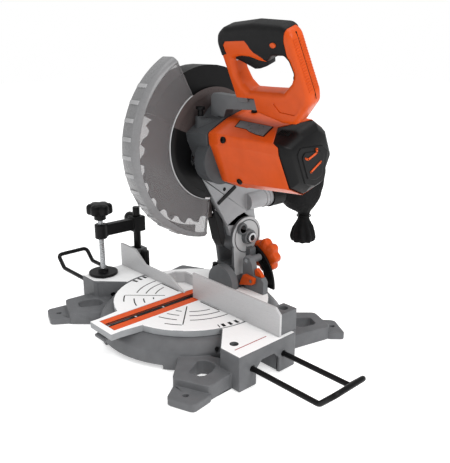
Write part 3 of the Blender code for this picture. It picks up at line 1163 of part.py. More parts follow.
def make_head_casting():
    pivot = head_pivot()
    arbor = (ARBOR_Y, ARBOR_Z)
    motor = (MOTOR_Y, MOTOR_Z)
    lock = (SPINDLE_LOCK_X, SPINDLE_LOCK_Y)
    head = joined(
        cylinder("x", pivot, HEAD_HUB_RADIUS, HEAD_HUB_LEFT, HEAD_HUB_RIGHT),
        prism("x", scaled(ARM_SHARES, HEAD_REACH), ARM_LEFT, HEAD_HUB_RIGHT - GAP),
        prism("x", scaled(ARM_FACE_SHARES, HEAD_REACH), HEAD_HUB_RIGHT - OVERRUN, ARM_FACE),
        loft("x", [(CASE_LEFT, scaled(CASE_LEFT_SHARES, HEAD_REACH)),
                   (CASE_RIGHT, scaled(CASE_RIGHT_SHARES, HEAD_REACH))]),
        cylinder("x", arbor, gear_room_radius() + GEAR_WALL, GEAR_ROOM_LEFT - GEAR_WALL, CASE_RIGHT),
        prism("y", scaled(BRACKET_SHARES, BRACKET_REACH), BRACKET_FRONT_Y, BRACKET_BACK_Y),
        leaned(prism("y", scaled(TONGUE_SHARES, HANDLE_REACH), -TONGUE_HALF_DEPTH, TONGUE_HALF_DEPTH)),
        cylinder("z", lock, SPINDLE_BOSS_RADIUS, SPINDLE_BOSS_BOTTOM, SPINDLE_BOSS_TOP, MEDIUM_ROUND),
        cylinder("y", (PORT_X, PORT_Z), PORT_RADIUS, PORT_FRONT_Y, PORT_BACK_Y, ROUND))
    pinion_pitch = gear_pitches()[1]
    right = CASE_RIGHT + OVERRUN
    pin_depth = HEAD_HUB_RIGHT - 2 * PIN_TRAVEL
    head = cut(
        head,
        cylinder("x", pivot, SHAFT_RADIUS + RUNNING_GAP, HEAD_HUB_LEFT - OVERRUN, HEAD_HUB_RIGHT + OVERRUN,
                 MEDIUM_ROUND),
        cylinder("x", pin_centre(), PIN_TIP_RADIUS + GAP, pin_depth, HEAD_HUB_RIGHT + OVERRUN, SMALL_ROUND),
        cylinder("x", pin_centre(-CHOP_RANGE_DEG), PIN_TIP_RADIUS + GAP, pin_depth, HEAD_HUB_RIGHT + OVERRUN,
                 SMALL_ROUND),
        turned("x", arbor, [
            (0, 0), (ARBOR_RADIUS + RUNNING_GAP, 0), (ARBOR_RADIUS + RUNNING_GAP, ARBOR_BEARING_LEFT),
            (ARBOR_BEARING_RADIUS + GAP, ARBOR_BEARING_LEFT), (ARBOR_BEARING_RADIUS + GAP, GEAR_ROOM_LEFT),
            (gear_room_radius(), GEAR_ROOM_LEFT), (gear_room_radius(), right),
            (0, right)]),
        cylinder("x", motor, pinion_pitch + 2 * TOOTH_REACH, MOTOR_SHAFT_LEFT - OVERRUN, right + OVERRUN,
                 ROUND),
        cylinder("y", (PORT_X, PORT_Z), PORT_RADIUS - PORT_WALL, PORT_FRONT_Y + 4 * PORT_WALL,
                 PORT_BACK_Y + OVERRUN,
                 MEDIUM_ROUND),
        cylinder("z", lock, SPINDLE_LOCK_RADIUS + GAP, SPINDLE_LOCK_BOTTOM - GAP - SPINDLE_LOCK_TRAVEL,
                 SPINDLE_LOCK_TOP, SMALL_ROUND))
    piece("head_casting", head, "head_silver", "head")
    low = ARBOR_BEARING_LEFT + GAP
    high = GEAR_ROOM_LEFT - GAP
    bore = ARBOR_RADIUS + GAP
    piece("arbor_bearing", turned("x", arbor, [(bore, low), (ARBOR_BEARING_RADIUS, low),
                                               (ARBOR_BEARING_RADIUS, high),
                                               (bore, high)], MEDIUM_ROUND), "steel", "head")
    piece("spindle_lock_button", cylinder("z", lock, SPINDLE_LOCK_RADIUS, SPINDLE_LOCK_BOTTOM,
                                          SPINDLE_LOCK_TOP,
                                          SMALL_ROUND), "black_plastic", "spindle_lock")


def make_spindle():
    arbor = (ARBOR_Y, ARBOR_Z)
    motor = (MOTOR_Y, MOTOR_Z)
    outline = []
    step = 2 * math.pi / BLADE_TEETH
    depth = BLADE_RADIUS - BLADE_ROOT
    for i in range(BLADE_TEETH):
        for share, radius in ((0.0, BLADE_RADIUS), (0.30, BLADE_RADIUS - 0.3 * depth), (0.55, BLADE_ROOT),
                              (0.86, BLADE_ROOT)):
            angle = -(i + share) * step
            outline.append((ARBOR_Y + radius * math.cos(angle), ARBOR_Z + radius * math.sin(angle)))
    blade = cut(prism("x", outline, -BLADE_HALF_THICKNESS, BLADE_HALF_THICKNESS),
                cylinder("x", arbor, BLADE_BORE, -OVERRUN, OVERRUN, MEDIUM_ROUND))
    piece("saw_blade", blade, "steel", "spindle")
    face = BLADE_HALF_THICKNESS + GAP
    bore = ARBOR_BOLT_RADIUS + GAP
    deep = face + 4 * FLANGE_THICKNESS
    piece("arbor_shaft", turned("x", arbor, [
        (bore, -BLADE_HALF_THICKNESS), (BLADE_BORE - GAP, -BLADE_HALF_THICKNESS), (BLADE_BORE - GAP, face),
        (FLANGE_RADIUS, face), (FLANGE_RADIUS, face + FLANGE_THICKNESS / 2),
        (ARBOR_RADIUS + OVERRUN, face + FLANGE_THICKNESS), (ARBOR_RADIUS, face + FLANGE_THICKNESS + OVERRUN),
        (ARBOR_RADIUS, ARBOR_END), (0, ARBOR_END), (0, deep), (bore, deep)], ROUND), "steel", "spindle")
    piece("outer_flange", turned("x", arbor, [
        (bore, -face), (FLANGE_RADIUS, -face), (FLANGE_RADIUS, -face - FLANGE_THICKNESS / 2),
        (FLANGE_RADIUS * 0.6, -face - FLANGE_THICKNESS), (bore, -face - FLANGE_THICKNESS)], ROUND), "steel",
          "spindle")
    seat = -face - FLANGE_THICKNESS - GAP
    piece("arbor_bolt", joined(
        prism("x", circle(arbor, ARBOR_BOLT_HEAD, 6), seat - ARBOR_BOLT_HEIGHT, seat),
        cylinder("x", arbor, ARBOR_BOLT_RADIUS, seat - OVERRUN, face + 3 * FLANGE_THICKNESS, SMALL_ROUND)),
          "steel",
          "spindle")
    gear_pitch, pinion_pitch = gear_pitches()
    towards = math.degrees(math.atan2(MOTOR_Z - ARBOR_Z, MOTOR_Y - ARBOR_Y))
    gear = cut(prism("x", gear_outline(arbor, GEAR_TEETH, gear_pitch, towards), GEAR_LEFT, GEAR_RIGHT),
               cylinder("x", arbor, ARBOR_RADIUS + GAP, GEAR_LEFT - OVERRUN, GEAR_RIGHT + OVERRUN,
                        MEDIUM_ROUND))
    piece("arbor_gear", gear, "steel", "spindle")
    pinion = prism("x", gear_outline(motor, PINION_TEETH, pinion_pitch,
                                     towards + 180.0 + 180.0 / PINION_TEETH),
                   GEAR_LEFT, GEAR_RIGHT)
    neck = COMMUTATOR_RADIUS * 0.8
    shaft = turned("x", motor, [
        (0, MOTOR_SHAFT_LEFT), (MOTOR_SHAFT_RADIUS, MOTOR_SHAFT_LEFT),
        (MOTOR_SHAFT_RADIUS, STATOR_LEFT + OVERRUN),
        (ARMATURE_RADIUS, STATOR_LEFT + OVERRUN), (ARMATURE_RADIUS, STATOR_RIGHT - OVERRUN),
        (neck, STATOR_RIGHT + OVERRUN), (neck, COMMUTATOR_LEFT), (COMMUTATOR_RADIUS, COMMUTATOR_LEFT),
        (COMMUTATOR_RADIUS, COMMUTATOR_RIGHT), (MOTOR_SHAFT_RADIUS, COMMUTATOR_RIGHT),
        (MOTOR_SHAFT_RADIUS, MOTOR_SHAFT_RIGHT), (0, MOTOR_SHAFT_RIGHT)], MEDIUM_ROUND)
    piece("armature", joined(shaft, pinion), "copper", "armature")
    hole = MOTOR_SHAFT_RADIUS + GAP
    piece("motor_fan", turned("x", motor, [
        (hole, FAN_LEFT), (FAN_RADIUS, FAN_LEFT), (FAN_RADIUS, FAN_LEFT + FAN_THICKNESS / 3),
        (FAN_RADIUS / 2, FAN_LEFT + FAN_THICKNESS), (hole, FAN_LEFT + FAN_THICKNESS)], MEDIUM_ROUND),
          "black_plastic", "armature")


def make_guards():
    centre = (GUARD_Y, GUARD_Z)
    hood = (HOOD_Y, HOOD_Z)
    arbor = (ARBOR_Y, ARBOR_Z)
    rim = GUARD_RADIUS - GUARD_RIM
    lip = GUARD_RADIUS - GUARD_LIP
    guard = swept("x", centre, [
        (GUARD_BORE, GUARD_PLATE_RIGHT), (GUARD_RADIUS, GUARD_PLATE_RIGHT), (GUARD_RADIUS, GUARD_LEFT),
        (lip, GUARD_LEFT), (lip, GUARD_LEFT + GUARD_RIM), (rim, GUARD_LEFT + GUARD_RIM),
        (rim, GUARD_PLATE_LEFT),
        (GUARD_BORE, GUARD_PLATE_LEFT)], GUARD_START_DEG, GUARD_END_DEG, GUARD_STEPS)
    pitch = (GUARD_END_DEG - GUARD_START_DEG) / (GUARD_RIBS + 1)
    half = math.degrees(GUARD_RIB_LENGTH / 2 / GUARD_RADIUS)
    ribs = []
    for i in range(GUARD_RIBS):
        middle = GUARD_START_DEG + (i + 1) * pitch
        ribs.append(prism("x", sector(centre, GUARD_RADIUS - GUARD_RIM / 2, GUARD_RADIUS + GUARD_RIB_HEIGHT,
                                      middle - half, middle + half, 1), GUARD_LEFT + GUARD_LIP / 2,
                          GUARD_PLATE_RIGHT - GUARD_LIP / 2))
    piece("lower_guard", joined(guard, *ribs), "guard_grey", "lower_guard")
    roof = HOOD_RADIUS - HOOD_WALL
    upper = swept("x", hood, [
        (HOOD_PLATE_INNER, HOOD_PLATE_RIGHT), (HOOD_RADIUS, HOOD_PLATE_RIGHT), (HOOD_RADIUS, HOOD_LEFT),
        (HOOD_PLATE_INNER, HOOD_LEFT), (HOOD_PLATE_INNER, HOOD_LEFT + HOOD_WALL),
        (roof, HOOD_LEFT + HOOD_WALL),
        (roof, HOOD_PLATE_LEFT), (HOOD_PLATE_INNER, HOOD_PLATE_LEFT)], HOOD_START_DEG, HOOD_END_DEG,
                  MEDIUM_ROUND)
    disc = cylinder("x", centre, GUARD_BORE - RUNNING_GAP, HOOD_PLATE_LEFT + RUNNING_GAP, GUARD_PLATE_RIGHT,
                    FINE_ROUND)
    arm = prism("x", grown(scaled(ARM_SHARES, HEAD_REACH), GAP), 0, ARM_FACE)
    upper = cut(joined(upper, disc), cylinder("x", arbor, FLANGE_RADIUS + OVERRUN, 0,
                                              GUARD_PLATE_RIGHT + OVERRUN, ROUND),
                arm)
    piece("upper_guard", upper, "black_plastic", "head")
    low = GUARD_PLATE_RIGHT + GAP
    piece("guard_retainer", prism("x", sector(centre, RETAINER_INNER, RETAINER_OUTER, RETAINER_START_DEG,
                                              RETAINER_END_DEG, 40), low, low + RETAINER_THICKNESS),
          "black_plastic",
          "head")
    chute = prism("x", scaled(CHUTE_SHARES, CHUTE_REACH), CHUTE_LEFT, CHUTE_RIGHT)
    chute = cut(chute, cylinder("x", arbor, BLADE_RADIUS + OVERRUN * 1.5, CHUTE_LEFT / 2, CHUTE_RIGHT / 2,
                                FINE_ROUND),
                prism("x", grown(scaled(ARM_SHARES, HEAD_REACH), GAP), ARM_LEFT - GAP, HEAD_HUB_RIGHT))
    piece("chip_chute", chute, "black_plastic", "head")


def housing_outline(share, wall=0.0):
    return scaled(HOUSING_SHARES, HOUSING_REACH * share - wall, (MOTOR_Y, MOTOR_Z))


def make_motor():
    motor = (MOTOR_Y, MOTOR_Z)
    bearing_right = MOTOR_BEARING_LEFT + MOTOR_BEARING_THICKNESS
    bore = MOTOR_BEARING_RADIUS + GAP
    room = loft("x", [(bearing_right, housing_outline(1.0, HOUSING_WALL)),
                      (HOUSING_RIGHT + OVERRUN, housing_outline(HOUSING_END_SHARE, HOUSING_WALL))])
    ribs = [prism("x", sector(motor, STATOR_RADIUS + GAP, HOUSING_REACH * 1.2, deg - HOUSING_RIB_HALF_DEG,
                              deg + HOUSING_RIB_HALF_DEG, 1), STATOR_LEFT,
                  STATOR_RIGHT) for deg in HOUSING_RIBS_DEG]
    lid = cylinder("x", (ARBOR_Y, ARBOR_Z), gear_room_radius() + GEAR_WALL, HOUSING_LEFT,
                   HOUSING_LEFT + HOUSING_WALL)
    housing = cut(joined(loft("x", [(HOUSING_LEFT, housing_outline(1.0)),
                                    (HOUSING_RIGHT, housing_outline(HOUSING_END_SHARE))]), lid),
                  cut(room, *ribs), cylinder("x", motor, bore, HOUSING_LEFT - OVERRUN,
                                             bearing_right + OVERRUN, MEDIUM_ROUND))
    piece("motor_housing", housing, "orange_plastic", "head")
    start = HOUSING_RIGHT + GAP
    rear_right = REAR_BEARING_LEFT + MOTOR_BEARING_THICKNESS
    cap = loft("x", [(start, housing_outline(HOUSING_END_SHARE)),
                     (CAP_MIDDLE, housing_outline(CAP_MIDDLE_SHARE)),
                     (CAP_RIGHT, housing_outline(CAP_END_SHARE))])
    cap = cut(cap,
              loft("x", [(start - OVERRUN, housing_outline(HOUSING_END_SHARE, HOUSING_WALL)),
                         (CAP_ROOM_END, housing_outline(CAP_END_SHARE, HOUSING_WALL))]),
              cylinder("x", motor, bore, CAP_ROOM_END - OVERRUN, rear_right + GAP, MEDIUM_ROUND),
              cylinder("x", motor, bore * 0.6, CAP_ROOM_END, CAP_MIDDLE + OVERRUN, MEDIUM_ROUND))
    piece("motor_end_cap", cap, "black_plastic", "head")
    for name, low in (("front", MOTOR_BEARING_LEFT), ("rear", REAR_BEARING_LEFT)):
        high = low + MOTOR_BEARING_THICKNESS - GAP
        hole = MOTOR_SHAFT_RADIUS + GAP
        piece("motor_bearing_" + name, turned("x", motor, [(hole, low), (MOTOR_BEARING_RADIUS, low),
                                                           (MOTOR_BEARING_RADIUS, high), (hole, high)],
                                              MEDIUM_ROUND), "steel",
              "head")
    low = STATOR_LEFT + GAP
    high = STATOR_RIGHT - GAP
    piece("motor_stator", turned("x", motor, [(STATOR_BORE, low), (STATOR_RADIUS, low), (STATOR_RADIUS, high),
                                              (STATOR_BORE, high)], ROUND), "copper", "head")


def handle_half(sign):
    """Front (-1) or back (1) half of the D handle, still flat, with the rooms inside it."""
    outline = filleted(scaled(HANDLE_OUTER_SHARES, HANDLE_REACH), HANDLE_EDGE * 3, 3)
    seam = sign * GAP / 2
    sections = [(seam, outline), (sign * (HANDLE_HALF_DEPTH - HANDLE_EDGE), outline),
                (sign * HANDLE_HALF_DEPTH, grown(outline, -HANDLE_EDGE))]
    solid = loft("y", sections)
    opening = filleted(scaled(HANDLE_OPENING_SHARES, HANDLE_REACH), HANDLE_EDGE * 2, 3)
    tools = [prism("y", opening, -2 * HANDLE_HALF_DEPTH, 2 * HANDLE_HALF_DEPTH)]
    for shares, depth in ((TRIGGER_SLOT_SHARES, TRIGGER_HALF_DEPTH), (SWITCH_SHARES, SWITCH_HALF_DEPTH),
                          (TONGUE_SHARES, TONGUE_HALF_DEPTH)):
        room = depth + 2 * GAP
        tools.append(prism("y", grown(scaled(shares, HANDLE_REACH), GAP), -room, room))
    centre = scaled([LOCK_SHARE], HANDLE_REACH)[0]
    inner = LOCK_LENGTH + LOCK_TRAVEL - LOCK_PROUD - HANDLE_HALF_DEPTH
    tools.append(cylinder("y", centre, LOCK_RADIUS + GAP, -HANDLE_HALF_DEPTH - OVERRUN, inner + GAP,
                          SMALL_ROUND))
    return leaned(cut(solid, *tools))


def make_handle():
    for name, sign in (("front", -1), ("back", 1)):
        seat = block((0, -HANDLE_REACH, MOTOR_Z), (HANDLE_SEAT_X, HANDLE_REACH, HANDLE_SEAT_Z))
        piece("handle_" + name, cut(handle_half(sign), seat), "orange_plastic", "head")
    pivot = scaled([TRIGGER_PIVOT_SHARE], HANDLE_REACH)[0]
    trigger = cut(prism("y", filleted(scaled(TRIGGER_SHARES, HANDLE_REACH), HANDLE_EDGE, 2),
                        -TRIGGER_HALF_DEPTH,
                        TRIGGER_HALF_DEPTH),
                  cylinder("y", pivot, TRIGGER_PIN_RADIUS + GAP, -2 * TRIGGER_HALF_DEPTH,
                           2 * TRIGGER_HALF_DEPTH, 16))
    piece("switch_trigger", leaned(trigger), "black_plastic", "trigger")
    piece("trigger_pin", leaned(cylinder("y", pivot, TRIGGER_PIN_RADIUS, -TRIGGER_HALF_DEPTH,
                                         TRIGGER_HALF_DEPTH, 16)),
          "steel", "head")
    piece("switch_block", leaned(prism("y", scaled(SWITCH_SHARES, HANDLE_REACH), -SWITCH_HALF_DEPTH,
                                       SWITCH_HALF_DEPTH)),
          "black_plastic", "head")
    centre = scaled([LOCK_SHARE], HANDLE_REACH)[0]
    face = -HANDLE_HALF_DEPTH - LOCK_PROUD
    piece("lock_off_button", leaned(cylinder("y", centre, LOCK_RADIUS, face, face + LOCK_LENGTH,
                                             SMALL_ROUND)),
          "orange_plastic", "lock_button")


def make_dust_bag():
    port = (PORT_X, PORT_Z)
    outer = PORT_RADIUS + GAP
    inner = PORT_RADIUS - PORT_WALL
    piece("dust_collar", turned("y", port, [
        (outer, COLLAR_FRONT_Y), (COLLAR_RADIUS, COLLAR_FRONT_Y), (COLLAR_RADIUS, COLLAR_BACK_Y),
        (inner, COLLAR_BACK_Y), (inner, PORT_BACK_Y + GAP), (outer, PORT_BACK_Y + GAP)], ROUND),
          "black_plastic", "head")
    sections = []
    outline = filleted(BAG_SHARES, BAG_CORNER_SHARE, 1)
    for across, share in BAG_WIDTH_SHARES:
        ring = [(BAG_CENTRE_Y + u * share * BAG_REACH, BAG_CENTRE_Z + v * share * BAG_REACH) for u,
                v in outline]
        sections.append((BAG_X + across * BAG_HALF_WIDTH, ring))
    mouth = COLLAR_BACK_Y + GAP
    mouth_end = mouth + BAG_MOUTH_LENGTH
    tail = [(BAG_TAIL_BOTTOM + along * BAG_TAIL_LENGTH,
             circle((BAG_X, BAG_TAIL_Y), share * BAG_TAIL_RADIUS, ROUND))
            for along, share in BAG_TAIL_SHARES]
    bag = joined(loft("x", sections),
                 turned("y", port, [(0, mouth), (COLLAR_RADIUS, mouth), (BAG_MOUTH_RADIUS, mouth_end),
                                    (0, mouth_end)], ROUND),
                 loft("z", tail))
    trim = block((BAG_X - BAG_REACH, 0, 0), (BAG_X + BAG_REACH, mouth, 2 * BAG_CENTRE_Z))
    piece("dust_bag", cut(bag, trim), "bag_black", "head")
    low = BAG_TAIL_BOTTOM + 0.8 * BAG_TAIL_LENGTH
    piece("bag_tie", turned("z", (BAG_X, BAG_TAIL_Y), [
        (TIE_RADIUS, low - TIE_WIRE), (TIE_RADIUS + 2 * TIE_WIRE, low - TIE_WIRE),
        (TIE_RADIUS + 2 * TIE_WIRE, low + TIE_WIRE),
        (TIE_RADIUS, low + TIE_WIRE)], MEDIUM_ROUND), "black_plastic", "head")


def make_bodies():
    """One empty for each moving body, on its joint's axis."""
    pivot_z = latch_pivot()[1]
    stud = stud_centre()
    lever = lever_pivot()
    pin = pin_centre()
    trigger = scaled([TRIGGER_PIVOT_SHARE], HANDLE_REACH)[0]
    lock = scaled([LOCK_SHARE], HANDLE_REACH)[0]
    post = (-POST_X, POST_Y, 0)
    screw = (CLAMP_AXIS_X, CLAMP_AXIS_Y, 0)
    body("root", None, (0, 0, 0))
    body("wire_right", "root", (WIRE_INNER_X, WIRE_BACK_Y, WIRE_Z))
    body("wire_left", "root", (-WIRE_INNER_X, WIRE_BACK_Y, WIRE_Z))
    body("clamp_post", "root", post)
    body("clamp_arm", "clamp_post", (post[0], post[1], CLAMP_ARM_BOTTOM))
    body("arm_knob", "clamp_arm", (post[0], POST_Y, ARM_KNOB_Z))
    body("clamp_pad", "clamp_arm", screw)
    body("clamp_screw", "clamp_pad", (screw[0], screw[1], CLAMP_SCREW_BOTTOM))
    body("post_knob", "root", (POST_KNOB_X, POST_KNOB_Y, 0))
    body("turntable", "root", (0, 0, 0))
    body("mitre_latch", "turntable", (0, LATCH_PIVOT_Y, pivot_z))
    body("bevel_knob", "turntable", (stud[0], KNOB_FRONT_Y, stud[1]))
    body("stop_lever", "turntable", (lever[0], SUPPORT_FRONT_Y, lever[1]))
    body("tilt", "turntable", (0, BOSS_BACK_Y, 0))
    body("hold_down_pin", "tilt", (RIGHT_CHEEK_OUTER, pin[0], pin[1]))
    body("head", "tilt", (0, HEAD_PIVOT_Y, HEAD_PIVOT_Z))
    body("spindle", "head", (0, ARBOR_Y, ARBOR_Z))
    body("armature", "head", (MOTOR_SHAFT_LEFT, MOTOR_Y, MOTOR_Z))
    body("lower_guard", "head", (0, GUARD_Y, GUARD_Z))
    body("trigger", "head", leaned_point(trigger[0], 0, trigger[1]))
    body("lock_button", "head", leaned_point(lock[0], -HANDLE_HALF_DEPTH, lock[1]))
    body("spindle_lock", "head", (SPINDLE_LOCK_X, SPINDLE_LOCK_Y, SPINDLE_LOCK_TOP))


def centre_on_floor():
    """Moves the root so that the origin is at the bottom centre of everything."""
    bpy.context.view_layer.update()
    solids = [obj for obj in bpy.data.objects if obj.type == "MESH"]
    corners = [obj.matrix_world @ vert.co for obj in solids for vert in obj.data.vertices]
    low = [min(corner[i] for corner in corners) for i in range(3)]
    high = [max(corner[i] for corner in corners) for i in range(3)]
    BODIES["root"][0].location = (-(low[0] + high[0]) / 2, -(low[1] + high[1]) / 2, -low[2])


def main():
    for old in list(bpy.data.objects):
        bpy.data.objects.remove(old)
    make_bodies()
    make_base()
    make_wires()
    make_fence()
    make_clamp()
    make_turntable()
    make_tilt_arm()
    make_head_casting()
    make_spindle()
    make_guards()
    make_motor()
    make_handle()
    make_dust_bag()
    centre_on_floor()


main()
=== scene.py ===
import math
import bpy
import bmesh
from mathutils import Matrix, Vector
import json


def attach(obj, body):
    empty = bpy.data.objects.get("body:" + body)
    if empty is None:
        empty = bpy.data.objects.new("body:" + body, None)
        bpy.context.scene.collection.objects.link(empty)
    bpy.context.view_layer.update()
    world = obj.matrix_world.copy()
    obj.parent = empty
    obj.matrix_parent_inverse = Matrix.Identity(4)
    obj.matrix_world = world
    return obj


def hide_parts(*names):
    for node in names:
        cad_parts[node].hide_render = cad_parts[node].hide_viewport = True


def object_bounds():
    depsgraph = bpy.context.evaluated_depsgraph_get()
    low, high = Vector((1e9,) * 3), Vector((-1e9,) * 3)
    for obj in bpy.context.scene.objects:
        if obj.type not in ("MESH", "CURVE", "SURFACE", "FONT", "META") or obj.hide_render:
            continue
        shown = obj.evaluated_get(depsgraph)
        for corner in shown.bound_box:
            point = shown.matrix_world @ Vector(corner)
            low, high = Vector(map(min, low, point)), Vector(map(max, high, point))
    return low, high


MM = 0.001
TABLE_MIDDLE = Vector((0.0, -0.059416, 0.051))  # middle of the turntable's top, in metres
HEAD_PIVOT = (106, 82)  # (y, z) of the axis that the head chops about
CLAMP_SCREW = (-180, -51)  # (x, y) of the clamp's screw
CLAMP_POST = (-177, 21)  # (x, y) of the clamp's post

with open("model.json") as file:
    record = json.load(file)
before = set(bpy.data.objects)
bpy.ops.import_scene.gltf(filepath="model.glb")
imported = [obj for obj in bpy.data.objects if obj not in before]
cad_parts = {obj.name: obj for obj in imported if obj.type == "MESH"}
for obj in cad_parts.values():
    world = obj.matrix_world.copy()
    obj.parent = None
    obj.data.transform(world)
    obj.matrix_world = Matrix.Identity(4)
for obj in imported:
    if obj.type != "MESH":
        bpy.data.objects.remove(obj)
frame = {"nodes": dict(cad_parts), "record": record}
nodes = frame["nodes"]
record = frame["record"]
bpy.context.view_layer.update()
loaded_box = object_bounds()
BODY_OF = {node: body for body, names in record["behaviour"]["bodies"].items() for node in names}
SLOT_OF = {part["node"]: part["material_slot"] for part in record["subparts"]}


# ---------------------------------------------------------------- materials

def linear(value):
    value = value / 255.0
    return value / 12.92 if value <= 0.04045 else ((value + 0.055) / 1.055) ** 2.4


def tint(rgb, share=1.0):
    return tuple(min(linear(c) * share, 1.0) for c in rgb) + (1.0,)


def surface(name, rgb, rough, metal=0.0, spread=0.06, patch=60.0, grain=900.0, bump=0.05, coat=0.0, alpha=1.0,
            stretch=(1, 1, 1), shine=0.15):
    """A node material: colour drifts in soft patches, roughness in finer ones, and a fine grain lifts it."""
    made = bpy.data.materials.new(name)
    made.use_nodes = True
    made.diffuse_color = tint(rgb)
    tree = made.node_tree
    shader = tree.nodes["Principled BSDF"]
    where = tree.nodes.new("ShaderNodeTexCoord")
    scale = tree.nodes.new("ShaderNodeMapping")
    scale.inputs["Scale"].default_value = stretch
    tree.links.new(where.outputs["Object"], scale.inputs["Vector"])

    def noise(size, detail):
        made_noise = tree.nodes.new("ShaderNodeTexNoise")
        made_noise.inputs["Scale"].default_value = size
        made_noise.inputs["Detail"].default_value = detail
        tree.links.new(scale.outputs["Vector"], made_noise.inputs["Vector"])
        return made_noise.outputs["Fac"]

    drift = tree.nodes.new("ShaderNodeValToRGB")
    drift.color_ramp.elements[0].position = 0.3
    drift.color_ramp.elements[1].position = 0.7
    drift.color_ramp.elements[0].color = tint(rgb, 1 - spread)
    drift.color_ramp.elements[1].color = tint(rgb, 1 + spread)
    tree.links.new(noise(patch, 3), drift.inputs["Fac"])
    tree.links.new(drift.outputs["Color"], shader.inputs["Base Color"])
    wear = tree.nodes.new("ShaderNodeMapRange")
    wear.inputs["To Min"].default_value = max(rough - 0.08, 0.02)
    wear.inputs["To Max"].default_value = min(rough + 0.08, 1.0)
    tree.links.new(noise(patch * 3, 2), wear.inputs["Value"])
    tree.links.new(wear.outputs["Result"], shader.inputs["Roughness"])
    if bump:
        lift = tree.nodes.new("ShaderNodeBump")
        lift.inputs["Strength"].default_value = bump
        lift.inputs["Distance"].default_value = 0.001
        tree.links.new(noise(grain, 2), lift.inputs["Height"])
        tree.links.new(lift.outputs["Normal"], shader.inputs["Normal"])
    shader.inputs["Metallic"].default_value = metal
    shader.inputs["Specular IOR Level"].default_value = shine
    shader.inputs["Coat Weight"].default_value = coat
    shader.inputs["Coat Roughness"].default_value = 0.15
    shader.inputs["Alpha"].default_value = alpha
    return made


CAST = surface("cast_grey", (98, 99, 101), 0.42, spread=0.08, grain=1400, bump=0.10)
CAST_LIGHT = surface("cast_light", (146, 148, 150), 0.38, spread=0.06, grain=1400, bump=0.08)
CAST_DARK = surface("cast_dark", (66, 68, 70), 0.40, spread=0.08, grain=1400, bump=0.10)
CAST_MID = surface("cast_mid", (104, 106, 108), 0.36, spread=0.06, grain=1400, bump=0.08)
SILVER = surface("silver_cast", (146, 147, 149), 0.34, metal=0.25, spread=0.05, grain=1600, bump=0.06)
WHITE_TOP = surface("machined_white", (240, 240, 240), 0.34, spread=0.02, grain=500, bump=0.03,
                    stretch=(1, 12, 1))
FENCE_METAL = surface("fence_metal", (186, 186, 187), 0.30, metal=0.15, spread=0.03, grain=500, bump=0.03,
                      stretch=(1, 1, 14))
STEEL = surface("steel", (176, 178, 180), 0.26, metal=0.9, spread=0.06, grain=700, bump=0.03,
                stretch=(1, 1, 8))
BLADE_STEEL = surface("blade_steel", (84, 78, 77), 0.36, metal=0.3, spread=0.05, grain=600, bump=0.03)
ORANGE = surface("orange_shell", (192, 73, 19), 0.34, spread=0.05, grain=1200, bump=0.03, coat=0.06)
ORANGE_BOARD = surface("orange_board", (212, 82, 32), 0.42, spread=0.04, grain=900, bump=0.05)
BLACK = surface("black_plastic", (11, 11, 12), 0.40, spread=0.15, grain=1400, bump=0.06)
RUBBER = surface("black_grip", (17, 17, 18), 0.50, spread=0.15, grain=1800, bump=0.14)
BLACK_METAL = surface("black_metal", (13, 13, 14), 0.34, spread=0.12, grain=900, bump=0.03)
GUARD = surface("guard_smoky", (112, 110, 111), 0.24, spread=0.03, bump=0.0, coat=0.1, alpha=0.5)
GUARD_BAND = surface("guard_band", (118, 118, 119), 0.28, spread=0.04, grain=900, bump=0.02, coat=0.3)
# lighter than the guard band they are moulded with: a painted highlight on the ribs' lit tops
GUARD_RIB_PAINTED_HIGHLIGHT = surface("guard_rib_painted_highlight", (150, 150, 151), 0.22, spread=0.04, grain=900, bump=0.02, coat=0.4)
# dark smoky grey of the upper disc, with a painted reflection in its brown tint
DISC_SMOKY_PAINTED_REFLECTION = surface("disc_smoky_painted_reflection", (70, 62, 61), 0.30, spread=0.05, grain=800, bump=0.02, coat=0.2)
COPPER = surface("copper", (184, 110, 70), 0.35, metal=0.8, spread=0.10, grain=1500, bump=0.20,
                 stretch=(1, 6, 1))
FABRIC = surface("bag_fabric", (16, 16, 17), 0.85, spread=0.20, grain=2200, bump=0.35)
PRINT = surface("dark_print", (22, 23, 24), 0.55, spread=0.10, bump=0.0)
RED_PRINT = surface("red_print", (150, 22, 22), 0.5, spread=0.06, bump=0.0)
SHADOW = surface("deep_black", (5, 5, 5), 0.6, spread=0.2, bump=0.04)
LUG_GREY = surface("lug_grey", (168, 170, 171), 0.34, metal=0.15, spread=0.04, grain=1400, bump=0.06)
TILT_GREY = surface("tilt_grey", (94, 96, 98), 0.36, spread=0.06, grain=1400, bump=0.08)
LABEL = surface("label_metal", (120, 120, 122), 0.30, metal=0.4, spread=0.10, patch=90, bump=0.01)
PALE = surface("pale_line", (205, 206, 208), 0.3, spread=0.04, bump=0.0)

NODE_LOOK = {
    "cast_grey": CAST, "table_grey": CAST_LIGHT, "fence_metal": FENCE_METAL, "steel": STEEL,
    "head_silver": CAST_DARK,
    "black_metal": BLACK_METAL, "black_plastic": BLACK, "orange_plastic": ORANGE, "guard_clear": GUARD,
    "copper": COPPER, "bag_fabric": FABRIC,
}


# ------------------------------------------------- shapes, in millimetres from the table's middle

def build(name, points, faces):
    mesh = bpy.data.meshes.new(name)
    mesh.from_pydata([Vector(p) * MM + TABLE_MIDDLE for p in points], [], faces)
    shape = bmesh.new()
    shape.from_mesh(mesh)
    bmesh.ops.recalc_face_normals(shape, faces=shape.faces)
    shape.to_mesh(mesh)
    shape.free()
    made = bpy.data.objects.new(name, mesh)
    bpy.context.scene.collection.objects.link(made)
    return made


def baked(obj):
    """The object with its modifiers worked into its mesh."""
    graph = bpy.context.evaluated_depsgraph_get()
    mesh = bpy.data.meshes.new_from_object(obj.evaluated_get(graph))
    obj.modifiers.clear()
    obj.data = mesh
    return obj


